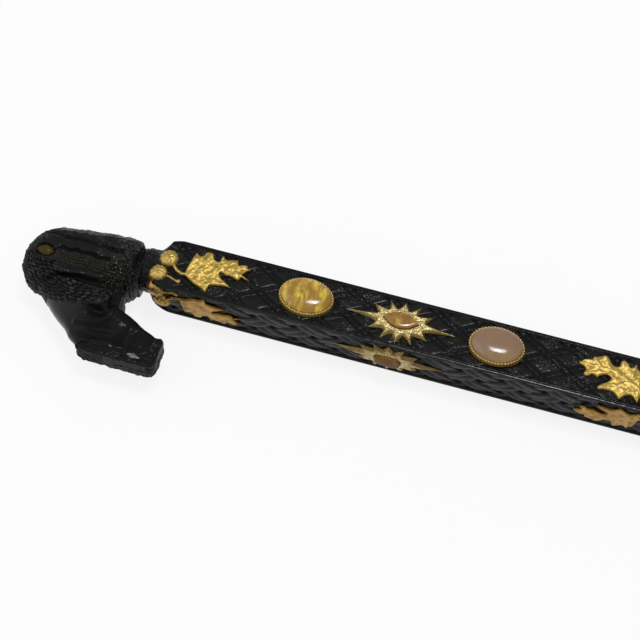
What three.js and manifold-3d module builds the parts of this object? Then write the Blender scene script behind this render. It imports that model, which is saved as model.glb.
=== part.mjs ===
// A carved walking stick lying on its side, in millimetres.
// +X runs along the shaft from the handle to the tip, and +Z is out of the jewelled face.
// The parts are laid out from the joint between handle and shaft, on the shaft's axis,
// and the whole stick is then set down with its base on the ground at z = 0.
import * as THREE from 'three';
import { mergeVertices } from 'three/addons/utils/BufferGeometryUtils.js';
import Module from 'manifold-3d';

const wasm = await Module();
wasm.setup();

// Driving dimensions
const overallLength = 914;
const restHeight = 16.8;
const fitGap = 0.3;
const overrun = 2;

// Shaft: a round neck, a square carved block, a second neck and a round tapered run to the tip
const neckRadius = 10.5;
const neckLength = 4.5;
const blockWidth = 26.5;
const blockLength = 251;
const shoulderLength = 11.5;
const borderWidth = 1.7;
const fieldDepth = 0.6;
const tipRadius = 8;
const blockHalf = blockWidth / 2;
const blockStart = neckLength;
const blockEnd = blockStart + blockLength;
const blockMiddle = (blockStart + blockEnd) / 2;
const fieldLevel = blockHalf - fieldDepth;
const fieldHalf = blockHalf - borderWidth;

// Carved head: the scaly block in line with the shaft
const headLength = 57;
const headWidth = 33.2;
const headWidthAtNeck = 26.8;
const headFlatDepth = 1.5;
const headCapLength = 16;
const headShoulderLength = 6;
const headCrownShoulderLength = 15;
const headNeckLength = 2;
const headDrop = 10.7;
const headDropAtNeck = 3;
const headHalfHeight = restHeight + headFlatDepth;

// Grip: the smooth part that leaves the head sideways and hooks back towards the shaft
const gripReach = 51.8;
const gripToe = 20.8;
const gripHalfHeight = 13.5;
const rimDepth = 4.2;
const rimHeight = 12;
const rimBevel = 1.2;

// Eyes: almond stones set in the two broad faces of the head
const eyeLength = 7.8;
const eyeWidth = 4.8;
const eyeHeight = 4;
const eyeFromEnd = 12;
const eyeAside = 11.2;
const eyeProud = 1.5;

// Threaded stud that joins handle and shaft
const studRadius = 4;
const studLength = 50;

// Rubber ferrule on the tip, with a steel washer on the floor of its socket
const ferruleLength = 46;
const ferruleFloor = 9;
const ferruleWall = 3.4;
const ferruleFootHeight = 9;
const ferruleCollarLength = 12;
const ferruleGroove = 1.2;
const ferruleFootRadius = restHeight;
const washerThickness = 2;
const ferruleBoreRadius = tipRadius + fitGap;
const ferruleNeckRadius = ferruleBoreRadius + ferruleWall;
const shaftEnd = overallLength - headLength - ferruleFloor - washerThickness - 2 * fitGap;

// Starbursts: pierced gilt plates round a long stone
const starShift = -5;
const sideStarShift = -2.2;
const starLength = 52;
const starWidth = 22.2;
const starThickness = 1.2;
const starX = blockMiddle + starShift;

// Stones: two domed cabochons, one navette and three cushion stones
const cabochonSpacing = 45.6;
const cabochonLength = 25;
const cabochonWidth = 18;
const cabochonHeight = 5.6;
const cabochonGirdle = 2.6;
const bezelWall = 1.1;
const bezelHeight = 2.8;
const navetteLength = 17.2;
const navetteWidth = 8.4;
const cushionLength = 12.6;
const cushionWidth = 8.6;
const cushionCorner = 2.4;
const stoneHeight = 3.4;
const stoneGirdle = 1.5;
const stoneTableShare = 0.5;

// Oak leaves and acorns at both ends of every face
const leafClearance = 14.6;
const leafWidth = 21.2;
const leafThickness = 1;
const leafInset = 16.5;
const settingStart = starX - cabochonSpacing - cabochonLength / 2 - bezelWall;
const leafLength = settingStart - leafClearance - blockStart - leafInset;
const leafStemWidth = 1.8;
const acornRadii = [4.2, 3.7];
const acornHeight = 2.6;
const acornStemWidth = 1.4;
const acornStemLength = 6.6;
const acornSeatDepth = 2;
const acornInsets = [7.2, 4.6];
const acornAsides = [2.5, -6.2];

// Smoothness of the round forms
const shaftSides = 48;
const handleSides = 32;
const ferruleSides = 32;
const acornSides = 14;
const ovalSteps = 28;

// Outlines as shares of the size they follow, along and across
const leafShares = [
  [0, -0.36], [0.015, 0.14], [0.04, 0.52], [0.08, 0.84], [0.105, 0.72], [0.19, 0.74], [0.21, 0.94],
  [0.34, 0.96], [0.365, 0.72], [0.45, 0.62], [0.495, 1], [0.58, 0.84], [0.735, 0.97], [0.76, 0.72],
  [0.9, 0.84], [0.925, 0.68], [0.975, 0.62], [0.89, 0.42], [0.88, 0.26], [1, 0.11], [0.87, 0.1],
  [0.83, -0.04], [0.74, 0.08], [0.62, 0.06], [0.535, 0.14], [0.52, 0.06], [0.76, -0.46],
  [0.43, -0.6], [0.405, -1], [0.34, -0.86], [0.235, -0.76], [0.13, -0.6], [0.03, -0.44],
];
const starShares = [
  [1, 0], [0.47, 0.2], [0.53, 0.56], [0.29, 0.53], [0.28, 0.9], [0.11, 0.66], [0, 1],
];
const gripShares = [
  [0.156, -2.34, -0.385, 0.9], [0.343, -2.34, -0.25, 1], [0.472, -2.2, -0.16, 1], [0.52, -2.11, 0.03, 1],
  [0.566, -2, 0.25, 0.99], [0.623, -1.87, 0.48, 0.97], [0.665, -1.74, 0.7, 0.93], [0.706, -1.59, 0.91, 0.88],
  [0.78, -1.32, 0.965, 0.79], [0.85, -1.15, 0.965, 0.67], [0.9, -0.97, 0.95, 0.52], [0.945, -0.84, 0.9, 0.4],
];
const rimLeftShare = 0.87;

// Materials
const material = (color, roughness, metalness) => new THREE.MeshStandardMaterial({ color, roughness, metalness });
const blackLacquer = material(0x17181a, 0.38, 0);
const blackHorn = material(0x1c1d1f, 0.3, 0);
const gilt = material(0xb8934a, 0.38, 1);
const paleGilt = material(0xc9b27a, 0.42, 1);
const honeyStone = material(0xc79a3c, 0.12, 0);
const roseStone = material(0xa98574, 0.12, 0);
const amberStone = material(0xa8691f, 0.12, 0);
const steel = material(0x8c8f92, 0.35, 1);
const rubber = material(0x1d1d1e, 0.85, 0);

const stick = new THREE.Group();

function addMesh(parent, name, geometry, look) {
  const mesh = new THREE.Mesh(geometry, look);
  mesh.name = name;
  parent.add(mesh);
  return mesh;
}

// Solids: a closed geometry becomes a solid, and a solid a geometry again
function toSolid(geometry) {
  const bare = geometry.clone();
  bare.deleteAttribute('normal');
  bare.deleteAttribute('uv');
  const merged = mergeVertices(bare);
  const vertProperties = new Float32Array(merged.attributes.position.array);
  const triVerts = new Uint32Array(merged.index.array);
  return new wasm.Manifold(new wasm.Mesh({ numProp: 3, vertProperties, triVerts }));
}

function toGeometry(solid) {
  const mesh = solid.getMesh();
  const geometry = new THREE.BufferGeometry();
  geometry.setAttribute('position', new THREE.BufferAttribute(new Float32Array(mesh.vertProperties), 3));
  geometry.setIndex(new THREE.BufferAttribute(new Uint32Array(mesh.triVerts), 1));
  geometry.computeVertexNormals();
  return geometry;
}

// A closed skin over rings of equally many points, with a fan of triangles at each end
function loft(rings) {
  const sides = rings[0].length;
  const points = rings.flat();
  const index = [];
  for (let r = 0; r < rings.length - 1; r += 1) {
    for (let s = 0; s < sides; s += 1) {
      const a = r * sides + s;
      const b = r * sides + (s + 1) % sides;
      index.push(a, b, a + sides, b, b + sides, a + sides);
    }
  }
  const last = (rings.length - 1) * sides;
  for (let s = 1; s < sides - 1; s += 1) {
    index.push(0, s + 1, s);
    index.push(last, last + s, last + s + 1);
  }
  const geometry = new THREE.BufferGeometry();
  geometry.setAttribute('position', new THREE.Float32BufferAttribute(points.flatMap((p) => [p.x, p.y, p.z]), 3));
  geometry.setIndex(index);
  geometry.computeVertexNormals();
  return geometry;
}

// A point of a rounded outline: a power of 2 gives an ellipse and a high power nearly a rectangle
function roundedPoint(turn, halfAcross, halfHigh, power) {
  const c = Math.cos(turn);
  const s = Math.sin(turn);
  const reach = (Math.abs(c) ** power + Math.abs(s) ** power) ** (-1 / power);
  return [c * reach * halfAcross, s * reach * halfHigh];
}

// A ring square to the shaft, turning from +Y towards +Z
function ringAcross(x, middleY, halfWide, halfHigh, power, sides) {
  const ring = [];
  for (let s = 0; s < sides; s += 1) {
    const [y, z] = roundedPoint((s / sides) * 2 * Math.PI, halfWide, halfHigh, power);
    ring.push(new THREE.Vector3(x, middleY + y, z));
  }
  return ring;
}

const mix = (from, to, share) => from + (to - from) * share;
const roundedEnd = (share, power) => (1 - (1 - Math.min(Math.max(share, 0), 1)) ** power) ** (1 / power);

// A bar along X between two places, as a cutter
function roundBar(from, to, radius, sides) {
  const bar = new THREE.CylinderGeometry(radius, radius, to - from, sides);
  bar.rotateZ(Math.PI / 2);
  bar.translate((from + to) / 2, 0, 0);
  return bar;
}

function box(x0, x1, y0, y1, z0, z1) {
  const geometry = new THREE.BoxGeometry(x1 - x0, y1 - y0, z1 - z0);
  geometry.translate((x0 + x1) / 2, (y0 + y1) / 2, (z0 + z1) / 2);
  return geometry;
}

function plate(shape, thickness, segments = 1) {
  return new THREE.ExtrudeGeometry(shape, { depth: thickness, bevelEnabled: false, curveSegments: segments });
}

// The four faces of the block: the jewelled one is up, and the others repeat the plainer side
const faces = [
  { name: 'top', turn: 0, jewelled: true },
  { name: 'near', turn: Math.PI / 2, jewelled: false },
  { name: 'far', turn: -Math.PI / 2, jewelled: false },
  { name: 'under', turn: Math.PI, jewelled: false },
];
const ends = [
  { name: 'head', side: 1, start: blockStart },
  { name: 'tip', side: -1, start: blockEnd },
];

// Shaft
function shoulderSection(share) {
  const half = mix(neckRadius, blockHalf, roundedEnd(share, 2));
  const power = mix(2, 14, Math.min(1, share * 1.6));
  return { half, power };
}

function shaftRings() {
  const rings = [ringAcross(0, 0, neckRadius, neckRadius, 2, shaftSides)];
  const shoulderShares = [0, 0.08, 0.2, 0.35, 0.55, 0.78, 1];
  for (const share of shoulderShares) {
    const { half, power } = shoulderSection(share);
    rings.push(ringAcross(blockStart + share * shoulderLength, 0, half, half, power, shaftSides));
  }
  for (const share of shoulderShares.toReversed()) {
    const { half, power } = shoulderSection(share);
    rings.push(ringAcross(blockEnd - share * shoulderLength, 0, half, half, power, shaftSides));
  }
  rings.push(ringAcross(blockEnd + neckLength, 0, neckRadius, neckRadius, 2, shaftSides));
  rings.push(ringAcross(shaftEnd, 0, tipRadius, tipRadius, 2, shaftSides));
  return rings;
}

function acornSeat(end, turn, i, across) {
  const radius = acornRadii[i] + fitGap;
  const depth = fieldDepth + acornSeatDepth + fitGap;
  const seat = new THREE.CylinderGeometry(radius, radius, depth + overrun, acornSides);
  seat.rotateX(Math.PI / 2);
  const level = blockHalf - depth + (depth + overrun) / 2;
  seat.translate(end.start + end.side * acornInsets[i], across * acornAsides[i], level);
  seat.rotateX(turn);
  return seat;
}

function makeShaft() {
  let solid = toSolid(loft(shaftRings()));
  for (const face of faces) {
    const field = box(blockStart - overrun, blockEnd + overrun, -fieldHalf, fieldHalf, fieldLevel, blockHalf + overrun);
    field.rotateX(face.turn);
    solid = solid.subtract(toSolid(field));
    for (const end of ends) {
      acornRadii.forEach((radius, i) => {
        solid = solid.subtract(toSolid(acornSeat(end, face.turn, i, face.jewelled ? 1 : -1)));
      });
    }
  }
  const studHole = roundBar(-overrun, studLength / 2 + fitGap, studRadius + fitGap, handleSides / 2);
  return toGeometry(solid.subtract(toSolid(studHole)));
}

// Handle
function headRings() {
  const rings = [];
  const shares = [0, 0.02, 0.08, 0.17, 0.29, 0.45, 0.65, 0.85, 0.91, 0.96, 0.99];
  const bodyEnd = -headNeckLength;
  const bodyLength = headLength - headNeckLength;
  for (const share of shares) {
    const x = -headLength + share * bodyLength;
    const plain = mix(headWidth, headWidthAtNeck, share) / 2;
    const cap = roundedEnd((x + headLength) / headCapLength + 0.004, 2.2);
    const shoulder = roundedEnd((bodyEnd - x) / headShoulderLength, 2);
    const half = mix(neckRadius, plain, shoulder) * cap;
    const crownShoulder = roundedEnd((bodyEnd - x) / headCrownShoulderLength, 2);
    const high = mix(neckRadius, headHalfHeight, crownShoulder) * cap;
    const drop = mix(headDrop, headDropAtNeck, share) * shoulder;
    rings.push(ringAcross(x, -drop, half, high, mix(2, 2.6, shoulder), handleSides));
  }
  rings.push(ringAcross(bodyEnd, 0, neckRadius, neckRadius, 2, handleSides));
  rings.push(ringAcross(0, 0, neckRadius, neckRadius, 2, handleSides));
  return rings;
}

// The grip's rings lie level with the shaft and step away from it
function gripRings() {
  return gripShares.map(([reachShare, leftShare, rightShare, highShare]) => {
    const middle = ((leftShare + rightShare) / 2) * gripToe;
    const half = ((rightShare - leftShare) / 2) * gripToe;
    const ring = [];
    for (let s = 0; s < handleSides; s += 1) {
      const turn = (s / handleSides) * 2 * Math.PI;
      const [x, z] = roundedPoint(turn, half, highShare * gripHalfHeight, 2.5);
      ring.push(new THREE.Vector3(middle + x, -reachShare * gripReach, z));
    }
    return ring;
  });
}

// The rough rim runs along the grip's outer edge and up its toe
function rimPlate() {
  const outer = gripReach - rimBevel;
  const toe = gripToe - rimBevel;
  const left = -gripToe * rimLeftShare + rimBevel;
  const inner = gripReach - rimDepth + rimBevel;
  const innerToe = gripToe - rimDepth + rimBevel;
  const shape = new THREE.Shape();
  shape.moveTo(left, -inner);
  shape.lineTo(left, -mix(inner, outer, 0.4));
  shape.lineTo(mix(left, toe, 0.25), -mix(inner, outer, 0.85));
  shape.lineTo(mix(left, toe, 0.9), -outer);
  shape.quadraticCurveTo(toe, -outer, toe, -outer + rimDepth);
  shape.lineTo(toe, -gripReach * 0.7);
  shape.lineTo(innerToe, -gripReach * 0.69);
  shape.lineTo(innerToe, -inner);
  const geometry = new THREE.ExtrudeGeometry(shape, {
    depth: rimHeight - 2 * rimBevel,
    bevelThickness: rimBevel,
    bevelSize: rimBevel,
    bevelSegments: 2,
    curveSegments: 4,
  });
  geometry.translate(0, 0, rimBevel - rimHeight / 2);
  return geometry;
}

function eyeShape(grow) {
  const eye = new THREE.SphereGeometry(1, 20, 12);
  eye.scale(eyeLength / 2 + grow, eyeWidth / 2 + grow, eyeHeight / 2 + grow);
  return eye;
}

function placeEye(geometry, side) {
  const crown = restHeight + (side > 0 ? eyeProud : -fitGap);
  geometry.translate(eyeFromEnd - headLength, -eyeAside, side * (crown - eyeHeight / 2));
  return geometry;
}

// The socket follows the eye's back and runs straight out of the head from its widest ring
function eyeSocket(side) {
  const well = new THREE.CylinderGeometry(1, 1, 1, 20);
  well.rotateX(Math.PI / 2);
  well.scale(eyeLength / 2 + fitGap, eyeWidth / 2 + fitGap, eyeHeight);
  well.translate(0, 0, (side * eyeHeight) / 2);
  return toSolid(placeEye(eyeShape(fitGap), side)).add(toSolid(placeEye(well, side)));
}

function makeHandle() {
  let solid = toSolid(loft(headRings()));
  solid = solid.add(toSolid(loft(gripRings())));
  solid = solid.add(toSolid(rimPlate()));
  const far = overallLength;
  solid = solid.intersect(toSolid(box(-far, far, -far, far, -restHeight, far)));
  const studHole = roundBar(-studLength / 2 - fitGap, overrun, studRadius + fitGap, handleSides / 2);
  solid = solid.subtract(toSolid(studHole));
  for (const side of [1, -1]) {
    solid = solid.subtract(eyeSocket(side));
  }
  return toGeometry(solid);
}

function makeEyes() {
  addMesh(stick, 'eye_upper', placeEye(eyeShape(0), 1), amberStone);
  addMesh(stick, 'eye_lower', placeEye(eyeShape(0), -1), amberStone);
}

// Ferrule and washer, as turned profiles about the shaft's axis
function turned(profile, sides) {
  const geometry = new THREE.LatheGeometry(profile.map(([radius, along]) => new THREE.Vector2(radius, along)), sides);
  geometry.rotateZ(-Math.PI / 2);
  return geometry;
}

function makeFerrule() {
  const end = overallLength - headLength;
  const start = end - ferruleLength;
  const collar = start + ferruleCollarLength;
  const foot = end - ferruleFootHeight;
  const ridge = ferruleGroove / 2;
  const grooveRadius = ferruleNeckRadius - ferruleGroove;
  const profile = [
    [ferruleBoreRadius, start], [ferruleBoreRadius, end - ferruleFloor], [0, end - ferruleFloor], [0, end],
    [ferruleFootRadius - ferruleGroove, end], [ferruleFootRadius, end - ferruleGroove],
    [ferruleFootRadius, foot], [ferruleNeckRadius, (foot + collar) / 2], [ferruleNeckRadius, collar + ferruleGroove],
    [grooveRadius, collar + ridge], [grooveRadius, collar - ridge], [ferruleNeckRadius, collar - ferruleGroove],
    [ferruleNeckRadius, start + ridge], [ferruleNeckRadius - ridge, start], [ferruleBoreRadius, start],
  ];
  addMesh(stick, 'ferrule', turned(profile.toReversed(), ferruleSides), rubber);
}

function makeWasher() {
  const start = shaftEnd + fitGap;
  const washer = roundBar(start, start + washerThickness, tipRadius, ferruleSides);
  addMesh(stick, 'ferrule_washer', washer, steel);
}

function makeStud() {
  addMesh(stick, 'handle_stud', roundBar(-studLength / 2, studLength / 2, studRadius, handleSides / 2), steel);
}

// Stones and their settings, made flat side down at z = 0 and centred
function ovalPath(PathKind, halfLong, halfWide) {
  const path = new PathKind();
  path.absellipse(0, 0, halfLong, halfWide, 0, 2 * Math.PI, false, 0);
  return path;
}

function makeBezel() {
  const outer = ovalPath(THREE.Shape, cabochonLength / 2 + bezelWall, cabochonWidth / 2 + bezelWall);
  outer.holes.push(ovalPath(THREE.Path, cabochonLength / 2, cabochonWidth / 2));
  return plate(outer, bezelHeight, ovalSteps);
}

function makeCabochon() {
  const profile = [new THREE.Vector2(0, 0), new THREE.Vector2(1, 0)];
  const steps = 7;
  for (let s = 0; s <= steps; s += 1) {
    const rise = (s / steps) * (Math.PI / 2);
    const radius = s === steps ? 0 : Math.cos(rise);
    profile.push(new THREE.Vector2(radius, cabochonGirdle + (cabochonHeight - cabochonGirdle) * Math.sin(rise)));
  }
  const stone = new THREE.LatheGeometry(profile, 2 * ovalSteps);
  stone.rotateX(Math.PI / 2);
  stone.scale(cabochonLength / 2 - fitGap, cabochonWidth / 2 - fitGap, 1);
  return stone;
}

// A pointed oval bounded by two arcs
function navetteShape(PathKind, grow) {
  const long = navetteLength / 2 + grow;
  const wide = navetteWidth / 2 + grow;
  const path = new PathKind();
  path.moveTo(-long, 0);
  path.quadraticCurveTo(0, -2 * wide, long, 0);
  path.quadraticCurveTo(0, 2 * wide, -long, 0);
  return path;
}

function cushionShape(PathKind, grow) {
  const long = cushionLength / 2 + grow;
  const wide = cushionWidth / 2 + grow;
  const corner = cushionCorner + grow;
  const path = new PathKind();
  path.moveTo(-long, -wide + corner);
  path.quadraticCurveTo(-long, -wide, -long + corner, -wide);
  path.lineTo(long - corner, -wide);
  path.quadraticCurveTo(long, -wide, long, -wide + corner);
  path.lineTo(long, wide - corner);
  path.quadraticCurveTo(long, wide, long - corner, wide);
  path.lineTo(-long + corner, wide);
  path.quadraticCurveTo(-long, wide, -long, wide - corner);
  path.closePath();
  return path;
}

const stoneOutline = (jewelled) => (jewelled ? navetteShape : cushionShape);

// A cut stone: an upright girdle, and a crown that slopes in to a flat table
function makeCutStone(jewelled) {
  const outline = stoneOutline(jewelled)(THREE.Shape, 0).getPoints(6);
  if (outline[0].distanceTo(outline.at(-1)) < fitGap) outline.pop();
  const ring = (level, share) => outline.map((p) => new THREE.Vector3(p.x * share, p.y * share, level));
  return loft([ring(0, 1), ring(stoneGirdle, 1), ring(stoneHeight, stoneTableShare)]);
}

function makeStar(jewelled) {
  const quarter = starShares.map(([along, across]) => [along * starLength / 2, across * starWidth / 2]);
  const half = [...quarter, ...quarter.slice(0, -1).toReversed().map(([x, y]) => [-x, y])];
  const whole = [...half, ...half.slice(1, -1).toReversed().map(([x, y]) => [x, -y])];
  const shape = new THREE.Shape(whole.map(([x, y]) => new THREE.Vector2(x, y)));
  shape.holes.push(stoneOutline(jewelled)(THREE.Path, fitGap));
  return plate(shape, starThickness, 6);
}

// Leaves, with the stem that reaches back to the first acorn
function makeLeaf() {
  const half = leafWidth / 2;
  const points = leafShares.map(([along, across]) => new THREE.Vector2(along * leafLength, across * half));
  const [baseX, baseY] = leafShares[0].map((share, i) => share * [leafLength, half][i]);
  const reach = leafInset - acornInsets[0];
  const stem = [
    new THREE.Vector2(baseX - reach * 0.35, baseY - leafStemWidth / 2),
    new THREE.Vector2(baseX - reach * 0.5, baseY + leafStemWidth / 2),
    new THREE.Vector2(baseX - reach * 0.3, baseY + leafStemWidth / 2),
  ];
  const shape = new THREE.Shape([points.at(-1), ...stem, ...points.slice(1, -1)]);
  return plate(shape, leafThickness);
}

function makeAcorn(radius, withStem) {
  const base = acornSeatDepth + fieldDepth - fitGap;
  const profile = [new THREE.Vector2(0, -base), new THREE.Vector2(radius, -base)];
  const steps = 4;
  for (let s = 0; s <= steps; s += 1) {
    const rise = (s / steps) * (Math.PI / 2);
    const across = s === steps ? 0 : radius * Math.cos(rise);
    profile.push(new THREE.Vector2(across, acornHeight * Math.sin(rise) - base / 2));
  }
  const acorn = new THREE.LatheGeometry(profile, acornSides);
  acorn.rotateX(Math.PI / 2);
  if (!withStem) return acorn;
  const half = acornStemWidth / 2;
  const stem = box(0, radius + acornStemLength, -half, half, fitGap - fieldDepth, acornStemWidth - fieldDepth);
  return toGeometry(toSolid(acorn).add(toSolid(stem)));
}

// Ornament of one face, laid out as if the face were up
function addStar(parent, face) {
  const x = starX + (face.jewelled ? 0 : sideStarShift);
  const star = addMesh(parent, `${face.name}_star`, makeStar(face.jewelled), paleGilt);
  star.position.set(x, 0, fieldLevel + fitGap);
  const stone = addMesh(parent, `${face.name}_star_stone`, makeCutStone(face.jewelled), amberStone);
  stone.position.set(x, 0, fieldLevel + fitGap);
}

function addCabochons(parent) {
  const looks = [honeyStone, roseStone];
  ends.forEach((end, i) => {
    const x = starX - end.side * cabochonSpacing;
    addMesh(parent, `bezel_${end.name}`, makeBezel(), gilt).position.set(x, 0, fieldLevel + fitGap);
    addMesh(parent, `cabochon_${end.name}`, makeCabochon(), looks[i]).position.set(x, 0, fieldLevel + fitGap);
  });
}

function addSprig(parent, face, end) {
  const flip = face.jewelled ? 1 : -1;
  const sprig = new THREE.Group();
  sprig.position.set(end.start, 0, 0);
  sprig.rotation.z = end.side > 0 ? 0 : Math.PI;
  parent.add(sprig);
  const across = end.side * flip;
  const leaf = makeLeaf();
  if (across < 0) leaf.rotateX(Math.PI).translate(0, 0, leafThickness);
  const name = `${face.name}_${end.name}`;
  addMesh(sprig, `${name}_leaf`, leaf, gilt).position.set(leafInset, 0, fieldLevel + fitGap);
  acornRadii.forEach((radius, i) => {
    const acorn = addMesh(sprig, `${name}_acorn_${i + 1}`, makeAcorn(radius, i > 0), gilt);
    acorn.position.set(acornInsets[i], across * acornAsides[i], blockHalf);
  });
}

function addFaces() {
  for (const face of faces) {
    const group = new THREE.Group();
    group.rotation.x = face.turn;
    stick.add(group);
    addStar(group, face);
    if (face.jewelled) addCabochons(group);
    for (const end of ends) addSprig(group, face, end);
  }
}

addMesh(stick, 'shaft', makeShaft(), blackLacquer);
addMesh(stick, 'handle', makeHandle(), blackHorn);
makeEyes();
makeStud();
makeFerrule();
makeWasher();
addFaces();

// The stick is set down over the origin
const bounds = new THREE.Box3().setFromObject(stick);
const middle = bounds.getCenter(new THREE.Vector3());
stick.position.set(-middle.x, -middle.y, -bounds.min.z);
const walkingStick = new THREE.Group();
walkingStick.add(stick);
walkingStick.updateMatrixWorld(true);

export default walkingStick;
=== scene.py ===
"""Looks of a carved black walking stick, built round its fixed frame.

Lengths in the settings are metres. The mesh code works in millimetres, measured from the joint
between handle and shaft on the shaft's axis, and place() turns them into the frame's metres.
"""
import math

import bpy
import numpy as np
from bpy.props import FloatProperty, FloatVectorProperty, IntProperty, PointerProperty
from mathutils import Matrix, Vector
from mathutils.geometry import delaunay_2d_cdt


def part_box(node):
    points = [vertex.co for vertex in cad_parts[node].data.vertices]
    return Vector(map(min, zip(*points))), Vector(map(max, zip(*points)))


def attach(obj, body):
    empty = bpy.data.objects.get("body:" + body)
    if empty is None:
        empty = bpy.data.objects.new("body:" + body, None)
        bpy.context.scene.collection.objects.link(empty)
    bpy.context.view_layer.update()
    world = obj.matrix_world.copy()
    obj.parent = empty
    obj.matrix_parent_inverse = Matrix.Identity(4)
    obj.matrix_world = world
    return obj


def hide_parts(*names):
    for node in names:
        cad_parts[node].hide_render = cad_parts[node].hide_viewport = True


bl_info = {
    "name": "Carved Walking Stick",
    "version": (1, 0, 0),
    "blender": (4, 5, 0),
    "location": "3D View > Sidebar > Walking Stick",
    "description": "Builds the carved head, plaited shaft, gilt ornaments and stones of a walking stick",
    "category": "Object",
}

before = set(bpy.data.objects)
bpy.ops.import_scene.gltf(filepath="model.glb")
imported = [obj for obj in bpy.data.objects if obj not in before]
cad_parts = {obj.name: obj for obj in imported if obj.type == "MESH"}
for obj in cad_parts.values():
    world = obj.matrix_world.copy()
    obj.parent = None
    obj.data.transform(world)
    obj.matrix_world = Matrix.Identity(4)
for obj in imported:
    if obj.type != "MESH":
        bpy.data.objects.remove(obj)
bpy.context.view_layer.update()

MM = 0.001
SHAFT_LOW, SHAFT_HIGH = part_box("shaft")
JOINT = np.array([SHAFT_LOW.x, (SHAFT_LOW.y + SHAFT_HIGH.y) / 2, (SHAFT_LOW.z + SHAFT_HIGH.z) / 2])
SHAFT_END = SHAFT_HIGH.x - SHAFT_LOW.x

FACES = (("top", 0.0, 1), ("near", math.pi / 2, -1), ("far", -math.pi / 2, -1), ("under", math.pi, -1))
ENDS = (("head", 1), ("tip", -1))
PLATE_STEP = 0.28  # grid of the leaves and starbursts, in millimetres
SUNK_FOOT = 0.35  # how far an ornament is let into the carved field, in millimetres


# ---------------------------------------------------------------- settings

def length(name, text, value):
    return FloatProperty(name=name, description=text, default=value, unit="LENGTH", subtype="DISTANCE", precision=5)


def angle(name, text, degrees):
    return FloatProperty(name=name, description=text, default=math.radians(degrees), unit="ROTATION", subtype="ANGLE")


def watts(name, text, value):
    return FloatProperty(name=name, description=text, default=value, unit="POWER")


def share(name, text, value):
    return FloatProperty(name=name, description=text, default=value, subtype="FACTOR", min=0.0, max=1.0)


def colour(name, text, value):
    return FloatVectorProperty(name=name, description=text, default=value, subtype="COLOR", size=3, min=0.0, max=1.0)


class StickShaftSettings(bpy.types.PropertyGroup):
    """Sizes of the carved block and the run below it."""
    neck_radius: length("Neck radius", "Round neck at both ends of the block", 0.0105)
    neck_length: length("Neck length", "Length of the round neck", 0.0045)
    block_half: length("Half width of the block", "From the axis to a face's border", 0.01325)
    block_length: length("Block length", "Length of the square carved block", 0.251)
    shoulder: length("Shoulder length", "Where the block rounds down to its neck", 0.0115)
    border: length("Border width", "Plain beaded edge beside every carved field", 0.0020)
    field_depth: length("Field depth", "How far the carved field lies below the border", 0.0006)
    tip_radius: length("Tip radius", "Shaft radius inside the ferrule", 0.008)
    band_pitch: length("Band pitch", "Distance along the jewelled face between crossing bands", 0.0210)
    band_width: length("Band width", "Width of a crossing band", 0.0026)
    weave_pitch: length("Weave pitch", "Distance along a side face after which the weave repeats", 0.0200)
    weave_rise: length("Weave rise", "Distance across a side face after which the weave repeats", 0.0122)
    strand_angle: angle("Band angle", "Slant of the crossing bands to the axis", 30)
    carve_depth: length("Carving depth", "Depth of the cuts between the woven strands", 0.0015)


class StickHandleSettings(bpy.types.PropertyGroup):
    """Sizes of the handle and its carving."""
    skin_cell: length("Skin cell", "Cell size of the carved skin", 0.00028)
    head_length: length("Head length", "From the head's end to the joint", 0.057)
    head_width: length("Head width", "Head's widest part across", 0.0332)
    head_height: length("Head height", "From the axis to the head's crown", 0.0183)
    grip_height: length("Half height of the grip", "From the axis to the grip's broad face", 0.0135)
    scale_long: length("Scale length", "Length of one carved scale", 0.0036)
    scale_high: length("Scale height", "Height of one row of scales", 0.00165)
    scale_relief: length("Scale relief", "How far a scale stands out of its row", 0.0009)
    rim_relief: length("Rim relief", "Depth of the lumps along the rough rim", 0.0009)
    rim_half_height: length("Half height of the rim", "Half the rim's height above the ground", 0.0062)


class StickOrnamentSettings(bpy.types.PropertyGroup):
    """Sizes and places of the gilt ornaments and the stones."""
    star_shift: length("Star shift", "Place of the starburst from the block's middle", -0.005)
    side_star_shift: length("Side star shift", "Further shift of the starburst on the plain faces", -0.0022)
    star_length: length("Star length", "Starburst from ray tip to ray tip", 0.052)
    star_width: length("Star width", "Starburst across the face", 0.0222)
    star_height: length("Star height", "Height of the starburst above the carved field", 0.0017)
    cabochon_spacing: length("Stone spacing", "From the starburst's middle to each oval stone", 0.0456)
    cabochon_length: length("Oval stone length", "Length of an oval stone", 0.025)
    cabochon_width: length("Oval stone width", "Width of an oval stone", 0.018)
    cabochon_height: length("Oval stone height", "Height of an oval stone above the carved field", 0.0059)
    bezel_wall: length("Setting wall", "Wall of an oval stone's setting", 0.0007)
    bezel_height: length("Setting height", "Height of the setting above the carved field", 0.0025)
    navette_length: length("Navette length", "Length of the pointed stone", 0.0172)
    navette_width: length("Navette width", "Width of the pointed stone", 0.0084)
    cushion_length: length("Cushion length", "Length of a side face's stone", 0.0126)
    cushion_width: length("Cushion width", "Width of a side face's stone", 0.0086)
    cut_height: length("Cut stone height", "Height of the starburst stones above the carved field", 0.0037)
    leaf_length: length("Leaf length", "Oak leaf without its stem", 0.0302)
    leaf_width: length("Leaf width", "Oak leaf across its lobes", 0.0212)
    leaf_inset: length("Leaf inset", "From the block's end to the foot of the leaf", 0.0165)
    leaf_height: length("Leaf height", "Height of a leaf above the carved field", 0.0015)
    acorn_radius: length("Acorn radius", "Radius of the larger acorn", 0.0042)
    acorn_height: length("Acorn height", "Height of an acorn's crown above the border", 0.0012)
    seed: IntProperty(name="Seed", description="Seed of the hammered and carved irregularities", default=7)


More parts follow.
